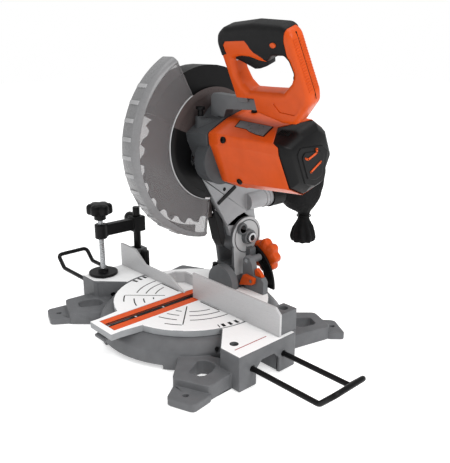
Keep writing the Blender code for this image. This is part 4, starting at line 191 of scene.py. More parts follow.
def filleted(outline, radius, steps=4):
    """The outline with each corner turned into an arc."""
    made = []
    count = len(outline)
    for i in range(count):
        here = Vector(outline[i])
        before = Vector(outline[i - 1]) - here
        after = Vector(outline[(i + 1) % count]) - here
        turn = before.angle(after)
        reach = min(radius / max(math.tan(turn / 2), 0.05), before.length * 0.48, after.length * 0.48)
        start = here + before.normalized() * reach
        end = here + after.normalized() * reach
        for step in range(steps + 1):
            share = step / steps
            made.append(tuple(start * (1 - share) ** 2 + here * 2 * share * (1 - share) + end * share ** 2))
    return made


def to_space(axis, flat, along):
    if axis == "x":
        return (along, flat[0], flat[1])
    if axis == "y":
        return (flat[0], along, flat[1])
    return (flat[0], flat[1], along)


def loft(name, sections):
    """A closed body through rings of as many points each."""
    count = len(sections[0])
    points = [p for ring in sections for p in ring]
    faces = []
    for level in range(len(sections) - 1):
        for i in range(count):
            j = (i + 1) % count
            faces.append((level * count + i, level * count + j, (level + 1) * count + j,
                          (level + 1) * count + i))
    faces.append(tuple(range(count))[::-1])
    faces.append(tuple(range(len(points) - count, len(points))))
    return build(name, points, faces)


def prism(name, axis, outline, low, high, edge=0.0, segments=3):
    made = loft(name, [[to_space(axis, p, along) for p in outline] for along in (low, high)])
    if edge:
        soften(made, edge, segments)
    return made


def soften(obj, edge, segments=3, limit=50):
    mod = obj.modifiers.new("edges", "BEVEL")
    mod.width = edge * MM
    mod.segments = segments
    mod.limit_method = "ANGLE"
    mod.angle_limit = math.radians(limit)
    mod.use_clamp_overlap = False
    mod.miter_outer = "MITER_ARC"
    return obj


def turned(name, axis, centre, profile, steps=48, start=0.0, sweep=360.0):
    """profile: (radius, distance along the axis) from end to end, on a closed body."""
    points, faces = [], []
    for radius, along in profile:
        for i in range(steps):
            angle = math.radians(start + sweep * i / steps)
            flat = (centre[0] + radius * math.cos(angle), centre[1] + radius * math.sin(angle))
            points.append(to_space(axis, flat, along))
    for level in range(len(profile) - 1):
        for i in range(steps):
            j = (i + 1) % steps
            faces.append((level * steps + i, level * steps + j, (level + 1) * steps + j,
                          (level + 1) * steps + i))
    faces.append(tuple(range(steps)))
    faces.append(tuple(range(len(points) - steps, len(points))))
    return build(name, points, faces)


def lobed(name, axis, centre, radius, depth, lobes, levels, steps=96, turn=0.0):
    """A star knob: levels are (share of the radius, distance along the axis)."""
    sections = []
    for share, along in levels:
        ring = []
        for i in range(steps):
            angle = 2 * math.pi * i / steps
            wave = (0.5 - 0.5 * math.cos(lobes * angle)) ** 1.6
            reach = (radius - depth * wave) * share
            flat = (centre[0] + reach * math.cos(angle + turn), centre[1] + reach * math.sin(angle + turn))
            ring.append(to_space(axis, flat, along))
        sections.append(ring)
    return loft(name, sections)


def swept(name, path, radius, steps=20):
    """A round bar along a path of points."""
    path = [Vector(p) for p in path]
    rings = []
    across = None
    for i, here in enumerate(path):
        ahead = (path[min(i + 1, len(path) - 1)] - path[max(i - 1, 0)]).normalized()
        if across is None:
            across = ahead.orthogonal().normalized()
        across = (across - ahead * across.dot(ahead)).normalized()
        other = ahead.cross(across)
        rings.append([tuple(here + (across * math.cos(a) + other * math.sin(a)) * radius)
                      for a in (2 * math.pi * k / steps for k in range(steps))])
    return loft(name, rings)


def bent(points, radius, steps=8):
    """A path with round bends."""
    made = [tuple(points[0])]
    for i in range(1, len(points) - 1):
        here = Vector(points[i])
        before = Vector(points[i - 1]) - here
        after = Vector(points[i + 1]) - here
        reach = min(radius / math.tan(before.angle(after) / 2), before.length * 0.49, after.length * 0.49)
        start, end = here + before.normalized() * reach, here + after.normalized() * reach
        for step in range(steps + 1):
            share = step / steps
            made.append(tuple(start * (1 - share) ** 2 + here * 2 * share * (1 - share) + end * share ** 2))
    made.append(tuple(points[-1]))
    return made


def arc_solid(name, centre, profile, start, end, steps=96):
    """profile: (x, radius) corners of the section, swept about an X axis at centre, from +Y towards +Z."""
    sections = []
    for i in range(steps + 1):
        angle = math.radians(start + (end - start) * i / steps)
        sections.append([(x, centre[0] + r * math.cos(angle), centre[1] + r * math.sin(angle))
                         for x, r in profile])
    return loft(name, sections)


def plate(name, outlines, low, high):
    """A flat plate in plan; outlines after the first are holes."""
    curve = bpy.data.curves.new(name, "CURVE")
    curve.dimensions = "2D"
    curve.fill_mode = "BOTH"
    curve.extrude = (high - low) / 2 * MM
    for outline in outlines:
        line = curve.splines.new("POLY")
        line.points.add(len(outline) - 1)
        for point, flat in zip(line.points, outline):
            point.co = (flat[0] * MM, flat[1] * MM, 0, 1)
        line.use_cyclic_u = True
    drawn = bpy.data.objects.new(name, curve)
    bpy.context.scene.collection.objects.link(drawn)
    graph = bpy.context.evaluated_depsgraph_get()
    mesh = bpy.data.meshes.new_from_object(drawn.evaluated_get(graph))
    bpy.data.objects.remove(drawn)
    shape = bmesh.new()
    shape.from_mesh(mesh)
    bmesh.ops.remove_doubles(shape, verts=shape.verts, dist=0.001 * MM)
    for vert in shape.verts:
        vert.co.z += (low + high) / 2 * MM
    bmesh.ops.recalc_face_normals(shape, faces=shape.faces)
    shape.to_mesh(mesh)
    shape.free()
    made = bpy.data.objects.new(name, mesh)
    bpy.context.scene.collection.objects.link(made)
    return made


def moved(obj, change):
    """Each point of the mesh, in millimetres from the table's middle, goes through change()."""
    for vert in obj.data.vertices:
        vert.co = Vector(change(vert.co / MM)) * MM + TABLE_MIDDLE
    shape = bmesh.new()
    shape.from_mesh(obj.data)
    bmesh.ops.recalc_face_normals(shape, faces=shape.faces)
    shape.to_mesh(obj.data)
    shape.free()
    return obj


def merged(name, objs):
    """Several shapes as one piece."""
    shape = bmesh.new()
    for obj in objs:
        if obj.modifiers:
            baked(obj)
        shape.from_mesh(obj.data)
    mesh = bpy.data.meshes.new(name)
    shape.to_mesh(mesh)
    shape.free()
    for obj in objs:
        bpy.data.objects.remove(obj)
    made = bpy.data.objects.new(name, mesh)
    bpy.context.scene.collection.objects.link(made)
    return made


def boolean(obj, tool, how):
    mod = obj.modifiers.new("cut", "BOOLEAN")
    mod.operation = how
    mod.solver = "EXACT"
    mod.object = tool
    baked(obj)
    bpy.data.objects.remove(tool)
    return obj


def piece(obj, body, material, replaces=(), angle=38):
    if material is not None:
        obj.data.materials.clear()
        obj.data.materials.append(material)
    obj.data.shade_smooth()
    obj.data.set_sharp_from_angle(angle=math.radians(angle))
    if any(mod.type == "BEVEL" for mod in obj.modifiers):
        level = obj.modifiers.new("faces", "WEIGHTED_NORMAL")
        level.keep_sharp = True
    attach(obj, body)
    if replaces:
        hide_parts(*replaces)
    return obj


def dressed(node, material, edge=0.8, segments=3, limit=42, choose=None):
    """The node's own shape with rounded edges. choose() names a face's look from its middle and normal."""
    shape = bmesh.new()
    shape.from_mesh(nodes[node].data)
    bmesh.ops.remove_doubles(shape, verts=shape.verts, dist=0.01 * MM)
    bmesh.ops.dissolve_limit(shape, angle_limit=math.radians(0.6), verts=shape.verts, edges=shape.edges)
    rings = [face for face in shape.faces if len(face.verts) > 60 and face.normal.z < -0.9]
    bmesh.ops.triangulate(shape, faces=rings)
    mesh = bpy.data.meshes.new(node + "_skin")
    shape.to_mesh(mesh)
    shape.free()
    if "custom_normal" in mesh.attributes:
        mesh.attributes.remove(mesh.attributes["custom_normal"])
    looks = material if isinstance(material, (list, tuple)) else [material]
    for look in looks:
        mesh.materials.append(look)
    for face in mesh.polygons:
        face.material_index = choose((face.center - TABLE_MIDDLE) / MM, face.normal) if choose else 0
    made = bpy.data.objects.new(node + "_skin", mesh)
    bpy.context.scene.collection.objects.link(made)
    if edge:
        soften(made, edge, segments, limit)
    return piece(made, BODY_OF[node], None, [node])


# ---------------------------------------------------------------- base, turntable and fence

def circle(middle, radius, steps=32):
    return [(middle[0] + radius * math.cos(2 * math.pi * i / steps),
             middle[1] + radius * math.sin(2 * math.pi * i / steps)) for i in range(steps)]


def arc_points(radius, start, end, steps=24, middle=(0, 0)):
    return [(middle[0] + radius * math.cos(math.radians(start + (end - start) * i / steps)),
             middle[1] + radius * math.sin(math.radians(start + (end - start) * i / steps)))
            for i in range(steps + 1)]


def band(radius, start, end, width, middle=(0, 0)):
    return (arc_points(radius + width / 2, start, end, 24, middle)
            + arc_points(radius - width / 2, end, start, 24, middle))


def bar(start, end, width):
    start, end = Vector(start), Vector(end)
    side = (end - start).normalized().orthogonal() * width / 2
    return [tuple(start + side), tuple(start - side), tuple(end - side), tuple(end + side)]


def bearing(point):
    return math.degrees(math.atan2(point[1], point[0]))


def marks(name, outlines, body, material, low, high):
    made = merged(name, [plate(name + str(i), [outline], low, high) for i, outline in enumerate(outlines)])
    return piece(moved(made, lambda p: p), body, material)


dressed("base_casting", CAST, 1.4)
dressed("turntable", [CAST_LIGHT, WHITE_TOP, CAST_MID], 0.7,
        choose=lambda p, n: (2 if p.z > 0.5 or (p.y > 100 and n.z < 0.5)
                             else 1 if n.z > 0.9 and p.z > -0.3 else 0))
dressed("kerf_board_right", ORANGE_BOARD, 0.35)
dressed("kerf_board_left", ORANGE_BOARD, 0.35)
dressed("fence", [FENCE_METAL, CAST], 0.6, choose=lambda p, n: 1 if p.y > 6 and abs(p.x) > 150 else 0)
dressed("mitre_latch", CAST, 0.8)

BLOCK_TOP = [(118.9, -42.8), (121.0, -42.8), (160.5, -81.8), (195.8, -81.8), (195.8, 24.8), (189.8, 24.8),
             (189.8, 32.8),
             (167.2, 32.8), (167.2, 24.8)] + arc_points(126.3, bearing((123.8, 24.8)),
                                                        bearing((118.9, -42.6)), 20)
for side, word in ((1, "right"), (-1, "left")):
    outline = [(side * x, y) for x, y in BLOCK_TOP]
    holes = [circle((side * 163.6, -61), 6.2), circle((side * 177, 21), 7.6)]
    top = moved(plate("block_top_" + word, [outline] + holes, 0.03, 0.12), lambda p: p)
    piece(top, "root", WHITE_TOP)
    rim = moved(plate("hole_rim_" + word, [circle((side * 163.6, -61), 6.2),
                                           circle((side * 163.6, -61), 4.9)], 0.02, 0.14), lambda p: p)
    piece(rim, "root", BLACK)

# closes the front wall of each table block, where the solid's pocket breaks through it
for side, word in ((1, "right"), (-1, "left")):
    skin = [(side * 146, -68.6), (side * 161, -82.6), (side * 161, -79), (side * 148, -66)]
    wall = moved(plate("wall_" + word, [skin], -50.4, -0.6), lambda p: p)
    piece(wall, "root", CAST)

LEFT_ARCS = [(90, (-70.8, -58.1), (-89.2, -3.7)), (74.5, (-57.7, -48.8), (-74.2, -4.1)),
             (59, (-46.4, -38.9), (-56.5, -11.1)),
             (107, (-54.4, -92.6), (-72.9, -77.4)), (91, (-28, -86.7), (-53.4, -74.1)),
             (76, (-28.4, -70.2), (-43, -62.8)),
             (60.5, (-30.7, -52.4), (-36.2, -48.4))]
RIGHT_ARCS = [(59.5, (27, -53.2), (35.2, -48)), (59.5, (43.1, -39.5), (55.2, -11.2)),
              (74, (26.7, -70.4), (43.8, -59.7)),
              (74, (54.6, -49), (70.9, -5.5)), (89, (27, -86.7), (52.9, -71.7)),
              (89, (66.6, -57.9), (85.9, -3.6)),
              (105, (50.7, -92.5), (71.3, -77))]


def span(radius, start, end, width):
    return band(radius, bearing(start) % 360, bearing(end) % 360, width)


table_marks = [span(r, a, b, 1.9) for r, a, b in LEFT_ARCS + RIGHT_ARCS]
table_marks += [bar(a, b, 1.7) for a, b in (((-74.2, -4.1), (-28.1, -4.0)), ((-73.9, -76.7), (-29.6, -30.5)),
                                             ((26.9, -4.5), (70.7, -4.2)), ((26.7, -31.1), (71.3, -75)))]
marks("table_lines", table_marks, "turntable", PRINT, 0.02, 0.10)
BOLD = [(-165, 5), (-170.5, 5), (-175.8, 5), (-179, 3.4), (-16.5, 5), (-11.0, 5), (-5.5, 5), (-20.0, 1.6)]
marks("scale_numbers", [bar((112 * math.cos(math.radians(a)), 112 * math.sin(math.radians(a))),
                            (121.5 * math.cos(math.radians(a)), 121.5 * math.sin(math.radians(a))), w)
                        for a, w in BOLD],
      "turntable", PRINT, 0.02, 0.10)
marks("slot_edges", [[(side * 3.5, -156.5), (side * 6.2, -156.5), (side * 6.2, 17.5), (side * 3.5, 17.5)]
                     for side in (1, -1)],
      "turntable", SHADOW, 0.02, 0.10)
marks("slot_tabs", [bar((1.6, -109.7), (5.4, -109.7), 2.4), bar((1.6, -58.9), (5.4, -58.9), 2.4)],
      "turntable", PALE, -0.2, 0.16)
marks("block_line", [bar((177, -72.4), (177.7, -13.2), 1.5)], "root", RED_PRINT, 0.13, 0.19)

for name, side in (("right", 1), ("left", -1)):
    path = bent([(side * 140, -59, -24), (side * 309, -59, -24), (side * 330, -59, -3), (side * 330, 2, -3),
                 (side * 309, 2, -24), (side * 140, 2, -24)], 9)
    piece(swept("wire_" + name, path, 3.75), "wire_" + name, BLACK_METAL, ["extension_wire_" + name])

# ---------------------------------------------------------------- clamp

piece(turned("post_bar", "z", CLAMP_POST, [(5.9, -45), (6.5, -44.4), (6.5, 108), (5.6, 109)], 36),
      "clamp_post",
      BLACK_METAL, ["clamp_post"])
dressed("clamp_arm", BLACK_METAL, 1.6)
piece(turned("pad_disc", "z", CLAMP_SCREW, [(24, 0.3), (25, 1.2), (25, 4.2), (24.2, 5), (9.6, 5.2), (9, 6),
                                            (9, 9.2),
                                            (8.2, 9.8)], 64), "clamp_pad", BLACK, ["clamp_pad"])
screw_profile = [(3.6, 9.5)]
z = 10.5
while z < 97.5:
    screw_profile += [(4.5, z), (4.5, z + 0.5), (3.9, z + 1.0), (3.9, z + 1.5)]
    z += 2.0
screw_profile += [(3.9, 98.7)]
piece(turned("screw_thread", "z", CLAMP_SCREW, screw_profile, 32), "clamp_screw", STEEL, ["clamp_screw"])
knob = merged("star_knob", [
    turned("neck", "z", CLAMP_SCREW, [(9, 99), (10, 99.8), (10, 111)], 36),
    lobed("star", "z", CLAMP_SCREW, 22, 4.2, 6,
          [(0.80, 108.5), (0.95, 110), (1.0, 112), (1.0, 121), (0.96, 124), (0.84, 126.2), (0.45, 127)])])
piece(knob, "clamp_screw", BLACK, ["clamp_knob"], angle=50)
piece(turned("side_knob", "x", (21, 85), [(6, -184), (6.5, -186), (9.5, -188), (10.5, -190), (10.5, -200),
                                          (9.5, -202.2),
                                         (6, -202.8)], 40), "arm_knob", BLACK, ["clamp_arm_knob"])
piece(lobed("post_wing", "z", (-152, 18.5), 8, 0.9, 10,
            [(0.9, 0.3), (1, 1.2), (1, 30), (0.92, 33), (0.6, 34)]),
      "post_knob", BLACK, ["clamp_post_knob"])

# ---------------------------------------------------------------- guards, blade and chute

GUARD_MIDDLE = (41, 241)
band_profile = [(-20, 132), (-18.4, 131.4), (-17, 132), (-17, 141), (-16, 142.6), (5, 142.8), (8, 140.4),
                (9.2, 137.4),
                (11.8, 137.2), (12.6, 138.2), (12.2, 139.6), (9.2, 143.4), (6.6, 145.5), (4, 146),
                (-17.5, 146),
                (-19.5, 145), (-20, 143)]
panel_profile = [(9.4, 84), (9.4, 138), (11.4, 138), (11.4, 84)]
bead_profile = [(8.6, 82.2), (8.6, 84.6), (9.4, 85.2), (11.6, 85.2), (12.2, 84.4), (12.2, 82.8), (11.6, 82.2)]
piece(arc_solid("guard_band", GUARD_MIDDLE, band_profile, 119, 263), "lower_guard", GUARD_BAND,
      ["lower_guard"])
piece(arc_solid("guard_panel", GUARD_MIDDLE, panel_profile, 119.2, 262.8), "lower_guard", GUARD)
# the bead on the guard's inner edge is pale to paint the highlight along that edge
piece(arc_solid("guard_bead_painted_highlight", GUARD_MIDDLE, bead_profile, 119.2, 262.8), "lower_guard", PALE)
ends = []
for angle in (119.0, 261.4):
    ends.append(arc_solid("end", GUARD_MIDDLE, [(9, 84), (9, 138), (12.1, 138), (12.1, 84)], angle,
                          angle + 1.2, 3))
piece(merged("guard_ends", ends), "lower_guard", GUARD)
blocks = []
for i in range(11):
    angle = 142 + i * 10.1
    half = math.degrees(3.0 / 146)
    rib = [(-18, 145), (-18, 146.6), (-16.5, 147.3), (1.2, 147.3), (2.8, 146.4), (3, 145)]
    blocks.append(soften(arc_solid("block", GUARD_MIDDLE, rib, angle - half, angle + half, 4), 0.5, 2, 40))
# the ribs take the lighter colour, a painted highlight on their tops
piece(merged("guard_blocks", blocks), "lower_guard", GUARD_RIB_PAINTED_HIGHLIGHT)

dressed("upper_guard", BLACK, 0)
# the upper disc's skin: its own dark grey, with a painted reflection in the brown tint
piece(arc_solid("disc_skin", GUARD_MIDDLE, [(11.9, 30), (11.9, 81.6), (12.15, 81.6), (12.15, 30)], 20, 158),
      "head",
      DISC_SMOKY_PAINTED_REFLECTION)
ring_profile = [(12.3, 73.5), (12.3, 84.5), (13.4, 84.5), (13.7, 84.1), (13.7, 73.9)]
piece(arc_solid("retainer_ring", GUARD_MIDDLE, ring_profile, 158, 255), "head", BLACK_METAL,
      ["guard_retainer"])
# the retainer ring's upper arc takes the disc's colour, painted reflection included
piece(arc_solid("retainer_top", GUARD_MIDDLE, ring_profile, -15, 158), "head", DISC_SMOKY_PAINTED_REFLECTION)
dressed("saw_blade", BLADE_STEEL, 0.0)
dressed("chip_chute", BLACK, 0.6)

# ---------------------------------------------------------------- head casting and tilt arm

def head_look(middle, normal):
    if middle.x > 56 and middle.z > 280:
        return 2
    if middle.x > 14.05 and middle.z > 174:
        return 0
    return 1


dressed("head_casting", [CAST_DARK, SILVER, CAST_MID], 0.9, choose=head_look)
dressed("tilt_arm", [TILT_GREY, LUG_GREY], 1.2,
        choose=lambda p, n: 1 if n.x > 0.9 and 17 < p.x < 19 and p.z > 45 else 0)
piece(arc_solid("lug_ring", HEAD_PIVOT, [(17.6, 26.5), (17.6, 28.2), (18.3, 28.2), (18.3, 26.5)], 0, 360,
                72), "tilt", CAST_DARK)
piece(turned("lug_drum", "x", HEAD_PIVOT, [(30.4, -11.5), (31, -11), (31, 16.6), (30.4, 17.2)], 72), "tilt",
      TILT_GREY)
piece(turned("shaft_socket", "x", HEAD_PIVOT, [(5.0, 30.5), (5.0, 31.08)], 32), "tilt", SHADOW)
piece(prism("arm_bar", "x", [(43, 149), (46.5, 144.5), (84, 166.5), (81, 171.5)], 13.5, 15.6, 0.4), "head",
      BLACK_METAL)
piece(turned("arm_hole", "x", (59, 168), [(3.2, 13.2), (3.2, 14.1)], 28), "head", SHADOW)
for n, y in enumerate((146, 154)):
    piece(turned("port_ring_%d" % n, "y", (12, 139), [(14.4, y - 1.6), (15.6, y - 0.9), (15.6, y + 0.9),
                                                      (14.4, y + 1.6)], 56),
          "head", SILVER)
dressed("spindle_lock_button", BLACK, 0.3)
piece(turned("lock_head", "z", (25.5, 2), [(4.1, 295.6), (6.2, 296.4), (6.6, 297.4), (6.6, 299.4),
                                           (5.8, 300.5)], 36),
      "spindle_lock", BLACK)
dressed("bevel_scale", BLACK, 0.4)
piece(prism("scale_fill", "y", arc_points(66, -1.5, 62) + arc_points(51, 62, -1.5), 118.6, 121.2), "tilt",
      BLACK_METAL)
dressed("hold_down_pin", BLACK, 0.3)
dressed("bevel_stop_lever", ORANGE, 0.8)
dressed("bevel_pointer", ORANGE, 0.3)
piece(lobed("bevel_star", "y", (36.9, 47.3), 28.5, 4.6, 8,
            [(0.55, 123.5), (0.9, 124.5), (0.98, 126.5), (1.0, 129), (1.0, 137), (0.96, 139.6),
             (0.86, 141.4), (0.6, 142)]),
      "bevel_knob", ORANGE, ["bevel_lock_knob"], angle=50)

# ---------------------------------------------------------------- motor

MOTOR = (55, 241)
MOTOR_SHAPE = [(-1.16, .46), (-1.13, .20), (-.70, -.80), (-.10, -1.05), (.60, -.86), (1.02, 0), (.70, .75),
               (.25, 1.02),
               (-.49, .79)]
motor_line = filleted([(y * 57, z * 57) for y, z in MOTOR_SHAPE], 5, 4)
COVER_EDGE = [(0, 176), (60, 178), (97, 174), (105, 159), (110, 151.5), (118, 149), (150, 155.5),
              (158, 172), (161, 178.5),
              (170, 179), (202, 178), (217, 180), (226, 181), (300, 178), (360, 176)]


def motor_ring(x, share, edge=None):
    """One ring of the motor. With edge, x is how far short of the orange cover's edge it lies."""
    ring = []
    for y, z in motor_line:
        along = x
        if edge:
            angle = math.degrees(math.atan2(z, y)) % 360
            for (a0, x0), (a1, x1) in zip(edge, edge[1:]):
                if a0 <= angle <= a1:
                    along = x + x0 + (x1 - x0) * (angle - a0) / (a1 - a0)
        reach = share if share else cover_share(along)
        ring.append((along, MOTOR[0] + y * reach, MOTOR[1] + z * reach))
    return ring


def cover_share(x):
    return 1 - 0.1 * (x - 57.5) / 80.5


piece(turned("gear_lid", "x", (16, 225), [(34.4, 54.8), (34.8, 55.4), (34.8, 57.2), (33.8, 57.8)], 72),
      "head", CAST_DARK)

piece(loft("motor_shell", [motor_ring(54.8, 0.95), motor_ring(55.6, 0.985), motor_ring(57.5, 1.0),
                           motor_ring(75, 0.992),
                           motor_ring(77, 0.972), motor_ring(110, 0), motor_ring(-6, 0, COVER_EDGE),
                           motor_ring(-0.8, 0, COVER_EDGE), motor_ring(0, 0.845, COVER_EDGE),
                           motor_ring(-2.5, 0.832, COVER_EDGE)]), "head", ORANGE, ["motor_housing"], angle=30)
piece(loft("motor_cap", [motor_ring(136, 0.835), motor_ring(146, 0.868), motor_ring(160, 0.853),
                         motor_ring(172, 0.842),
                         motor_ring(180, 0.815), motor_ring(185, 0.76), motor_ring(189, 0.66),
                         motor_ring(190, 0.62)]),
      "head", BLACK, ["motor_end_cap"], angle=28)
FACE = [(23, 249), (30, 258), (74, 257), (86, 249), (81, 209), (62, 203), (41, 208)]
piece(prism("cap_face", "x", filleted(FACE, 5, 4), 187, 191.4, 1.2), "head", BLACK)
STEP = [(55 + (y - 55) * 0.72, 234 + (z - 234) * 0.72) for y, z in FACE]
piece(prism("cap_step", "x", filleted(STEP, 4, 4), 190, 192.6, 0.8), "head", BLACK)


def stripe(name, line, width, x0, x1):
    parts = [prism("run", "x", bar(a, b, width), x0, x1) for a, b in zip(line, line[1:])]
    parts += [turned("joint", "x", at, [(width / 2, x0), (width / 2, x1)], 16) for at in line]
    return merged(name, parts)


piece(stripe("cap_chevron", [(37.6, 243.5), (42.5, 241.4), (60.1, 248.6), (60.2, 253.6)], 2.6, 191, 193.4),
      "head", ORANGE)
piece(stripe("cap_dash", [(69.6, 235.5), (49.6, 223.9)], 2.6, 191, 193.4), "head", ORANGE)


def on_cover(x, along, lift=0.0, ends=(0, 8), share=None):
    """A point of the cover's long facet between two corners of the motor's shape, lifted off it."""
    share = share or cover_share(x)
    a, b = [Vector((MOTOR[0] + MOTOR_SHAPE[k][0] * 57 * share, MOTOR[1] + MOTOR_SHAPE[k][1] * 57 * share))
            for k in ends]
    flat = a + (b - a) * along
    off = (b - a).orthogonal().normalized()
    if off.dot(flat - Vector(MOTOR)) < 0:
        off = -off
    flat += off * lift
    return (x, flat.x, flat.y)


LABEL_LINE = [(82, 0.95), (144, 0.95), (146.5, 0.32), (132, 0.35), (117, 0.44), (108, 0.54), (86, 0.56)]
for name, grow, lift, look in (("label_edge", 1.0, 0.5, SHADOW), ("label_plate", 0.93, 0.7, LABEL)):
    ring = []
    for x, along in LABEL_LINE:
        ring.append((114 + (x - 114) * grow, 0.68 + (along - 0.68) * grow))
    sides = [[on_cover(x, along, level) for x, along in ring] for level in (-0.6, lift)]
    piece(loft(name, sides), "head", look)


def stud(name, at, toward, radius, height, body, look):
    """A round screw head at a point, facing along toward."""
    made = turned(name, "z", (0, 0), [(radius * 0.9, -2), (radius, -1), (radius, height * 0.6),
                                      (radius * 0.82, height),
                                      (radius * 0.45, height), (radius * 0.4, height * 0.3)], 28)
    turn = Vector((0, 0, 1)).rotation_difference(Vector(toward)).to_matrix()
    for vert in made.data.vertices:
        vert.co = (turn @ ((vert.co - TABLE_MIDDLE) / MM) + Vector(at)) * MM + TABLE_MIDDLE
    return piece(made, body, look)


stud("cover_screw_0", (85, -9.2, 260.4), (0, -1, 0.1), 4.6, 1.6, "head", BLACK)
stud("cover_screw_1", (93, 15.2, 199.8), (0, -0.9, -0.45), 4.6, 1.6, "head", BLACK)
stud("cover_screw_2", (82, 54.5, 294.0), (0, 0.1, 1), 4.6, 1.8, "head", BLACK)
vents = []
for n in range(6):
    x = 160 + n * 3.1
    share = 0.853 - 0.0009 * max(x - 160, 0)
    low, high = on_cover(x, 0.62, 0.0, share=share), on_cover(x, 0.90, 0.0, share=share)
    vents.append(swept("vent", [low, high], 1.0, 8))
piece(merged("cap_vents", vents), "head", SHADOW)

# ---------------------------------------------------------------- handle

LEAN = math.radians(20)


def leaned(u, v, depth):
    return (u, 29.5 + depth * math.cos(LEAN) - v * math.sin(LEAN),
            294.6 + v * math.cos(LEAN) + depth * math.sin(LEAN))


HANDLE_OUTER = [(92, 14), (83, 104), (87, 114), (99, 121.5), (150, 125), (199, 121), (210, 111), (221, 38),
                (219, 25),
                (190, -4), (168, -4), (128, 6)]
HANDLE_GAP = [(106, 83), (122, 85), (137, 83.5), (150, 79), (159, 77.5), (168, 80.5), (173, 86),
              (193, 86.5), (199, 80),
              (203, 64), (195, 51), (178, 38), (119, 37.5), (110, 47), (105, 62)]
GRIP = [(76, 134), (76, 87), (90, 87), (97, 89), (95.5, 93), (94.6, 100), (99.9, 105.2), (135.4, 106),
        (139.5, 101), (142, 96),
        (147, 91), (153, 88), (160, 84), (168, 76), (192, 76), (197, 72), (199, 62), (204, 58), (202.5, 72),
        (200, 88),
        (199.5, 104), (203, 116), (207, 134)]


def edge_at(outline, middle, angle):
    """Where the ray from middle at that angle leaves the outline."""
    ray = Vector((math.cos(angle), math.sin(angle)))
    best = 0.0
    for i, start in enumerate(outline):
        start = Vector(start)
        along = Vector(outline[(i + 1) % len(outline)]) - start
        across = ray.x * along.y - ray.y * along.x
        if abs(across) < 1e-9:
            continue
        gap = start - middle
        reach = (gap.x * along.y - gap.y * along.x) / across
        share = (gap.x * ray.y - gap.y * ray.x) / across
        if 0 <= share <= 1:
            best = max(best, reach)
    return best


def handle_ring(name, grow=0.0):
    """The D of the handle: a rounded section carried round the finger opening, in (across, height, depth)."""
    middle = Vector((152, 63))
    outer = filleted(HANDLE_OUTER, 12, 6)
    gap = filleted(HANDLE_GAP, 5, 5)
    half, corner, turns, arc = 13.5 + grow, 7.0, 168, 5
    points, faces = [], []
    for k in range(turns):
        angle = 2 * math.pi * k / turns
        ray = Vector((math.cos(angle), math.sin(angle)))
        inner, reach = edge_at(gap, middle, angle) - grow, edge_at(outer, middle, angle) + grow
        for sign_r, sign_d, base in ((1, 1, 0), (-1, 1, 90), (-1, -1, 180), (1, -1, 270)):
            for step in range(arc + 1):
                turn = math.radians(base + 90 * step / arc)
                along = (reach if sign_r > 0 else inner) - sign_r * corner + corner * math.cos(turn)
                depth = sign_d * (half - corner) + corner * math.sin(turn)
                flat = middle + ray * along
                points.append((flat.x, flat.y, depth))
    ring = 4 * (arc + 1)
    for k in range(turns):
        for i in range(ring):
            j = (i + 1) % ring
            n = (k + 1) % turns
            faces.append((k * ring + i, k * ring + j, n * ring + j, n * ring + i))
    made = build(name, points, faces)
    for vert in made.data.vertices:
        vert.co -= TABLE_MIDDLE
    return made


def lean_all(obj):
    return moved(obj, lambda p: leaned(p.x, p.y, p.z))


def seat_cut(obj):
    """The left foot of the handle is cut flat where it sits on the bracket."""
    tool = prism("tool", "y", [(40, 250), (127.5, 250), (127.5, 317.3), (40, 317.3)], -60, 90)
    return boolean(obj, tool, "DIFFERENCE")


RECESS = [(158, 25), (176, 27), (188, 32), (205, 37), (209, 31), (199, 15.7), (192, 10.5), (168, 12.8)]
shell = boolean(handle_ring("handle_shell"), plate("tool", [filleted(RECESS, 3, 4)], -22, -12.2),
                "DIFFERENCE")
piece(seat_cut(lean_all(shell)), "head", ORANGE, ["handle_front", "handle_back"])


def side_edge(v):
    """The handle's right outer edge at that height."""
    return 221 - (v - 38) * 11 / 73


ribs = []
for n in range(19):
    v = 42 + n * 3.4
    u = side_edge(v)
    for d0, d1 in ((-9.0, -1.6), (1.6, 9.0)):
        ribs.append(plate("rib", [[(u - 1.6, v - 0.8), (u + 0.6, v - 0.6), (u + 0.6, v + 0.6),
                                   (u - 1.6, v + 0.8)]], d0, d1))
piece(lean_all(merged("handle_ribs", ribs)), "head", ORANGE)
seam = plate("handle_seam", [[(side_edge(30) - 1, 30), (side_edge(38) + 0.15, 38),
                              (side_edge(112) + 0.15, 112),
                              (side_edge(112) - 1, 112)]], -0.4, 0.4)
piece(lean_all(seam), "head", SHADOW)
over = boolean(handle_ring("handle_grip", 0.7), plate("tool", [GRIP], -30, 30), "INTERSECT")
piece(lean_all(over), "head", RUBBER)
TRIGGER = [(101, 82), (103, 88), (124, 90), (142, 87), (158, 84), (161, 79), (159.5, 72), (147, 68.5),
           (137, 67.5), (128, 71.5),
           (114, 77.5)]
trigger = plate("trigger_blade", [filleted(TRIGGER, 1.6, 3)], -8, 8)
soften(trigger, 0.7, 3)
piece(lean_all(baked(trigger)), "trigger", BLACK, ["switch_trigger"])

oval = [(182.5 + 4.6 * math.cos(math.radians(a)), 100.5 + 3.2 * math.sin(math.radians(a)))
        for a in range(0, 360, 12)]
button = plate("lock_button_cap", [oval], -15.6, -11)
soften(button, 0.6, 3)
piece(lean_all(baked(button)), BODY_OF["lock_off_button"], ORANGE, ["lock_off_button"])

# ---------------------------------------------------------------- dust bag

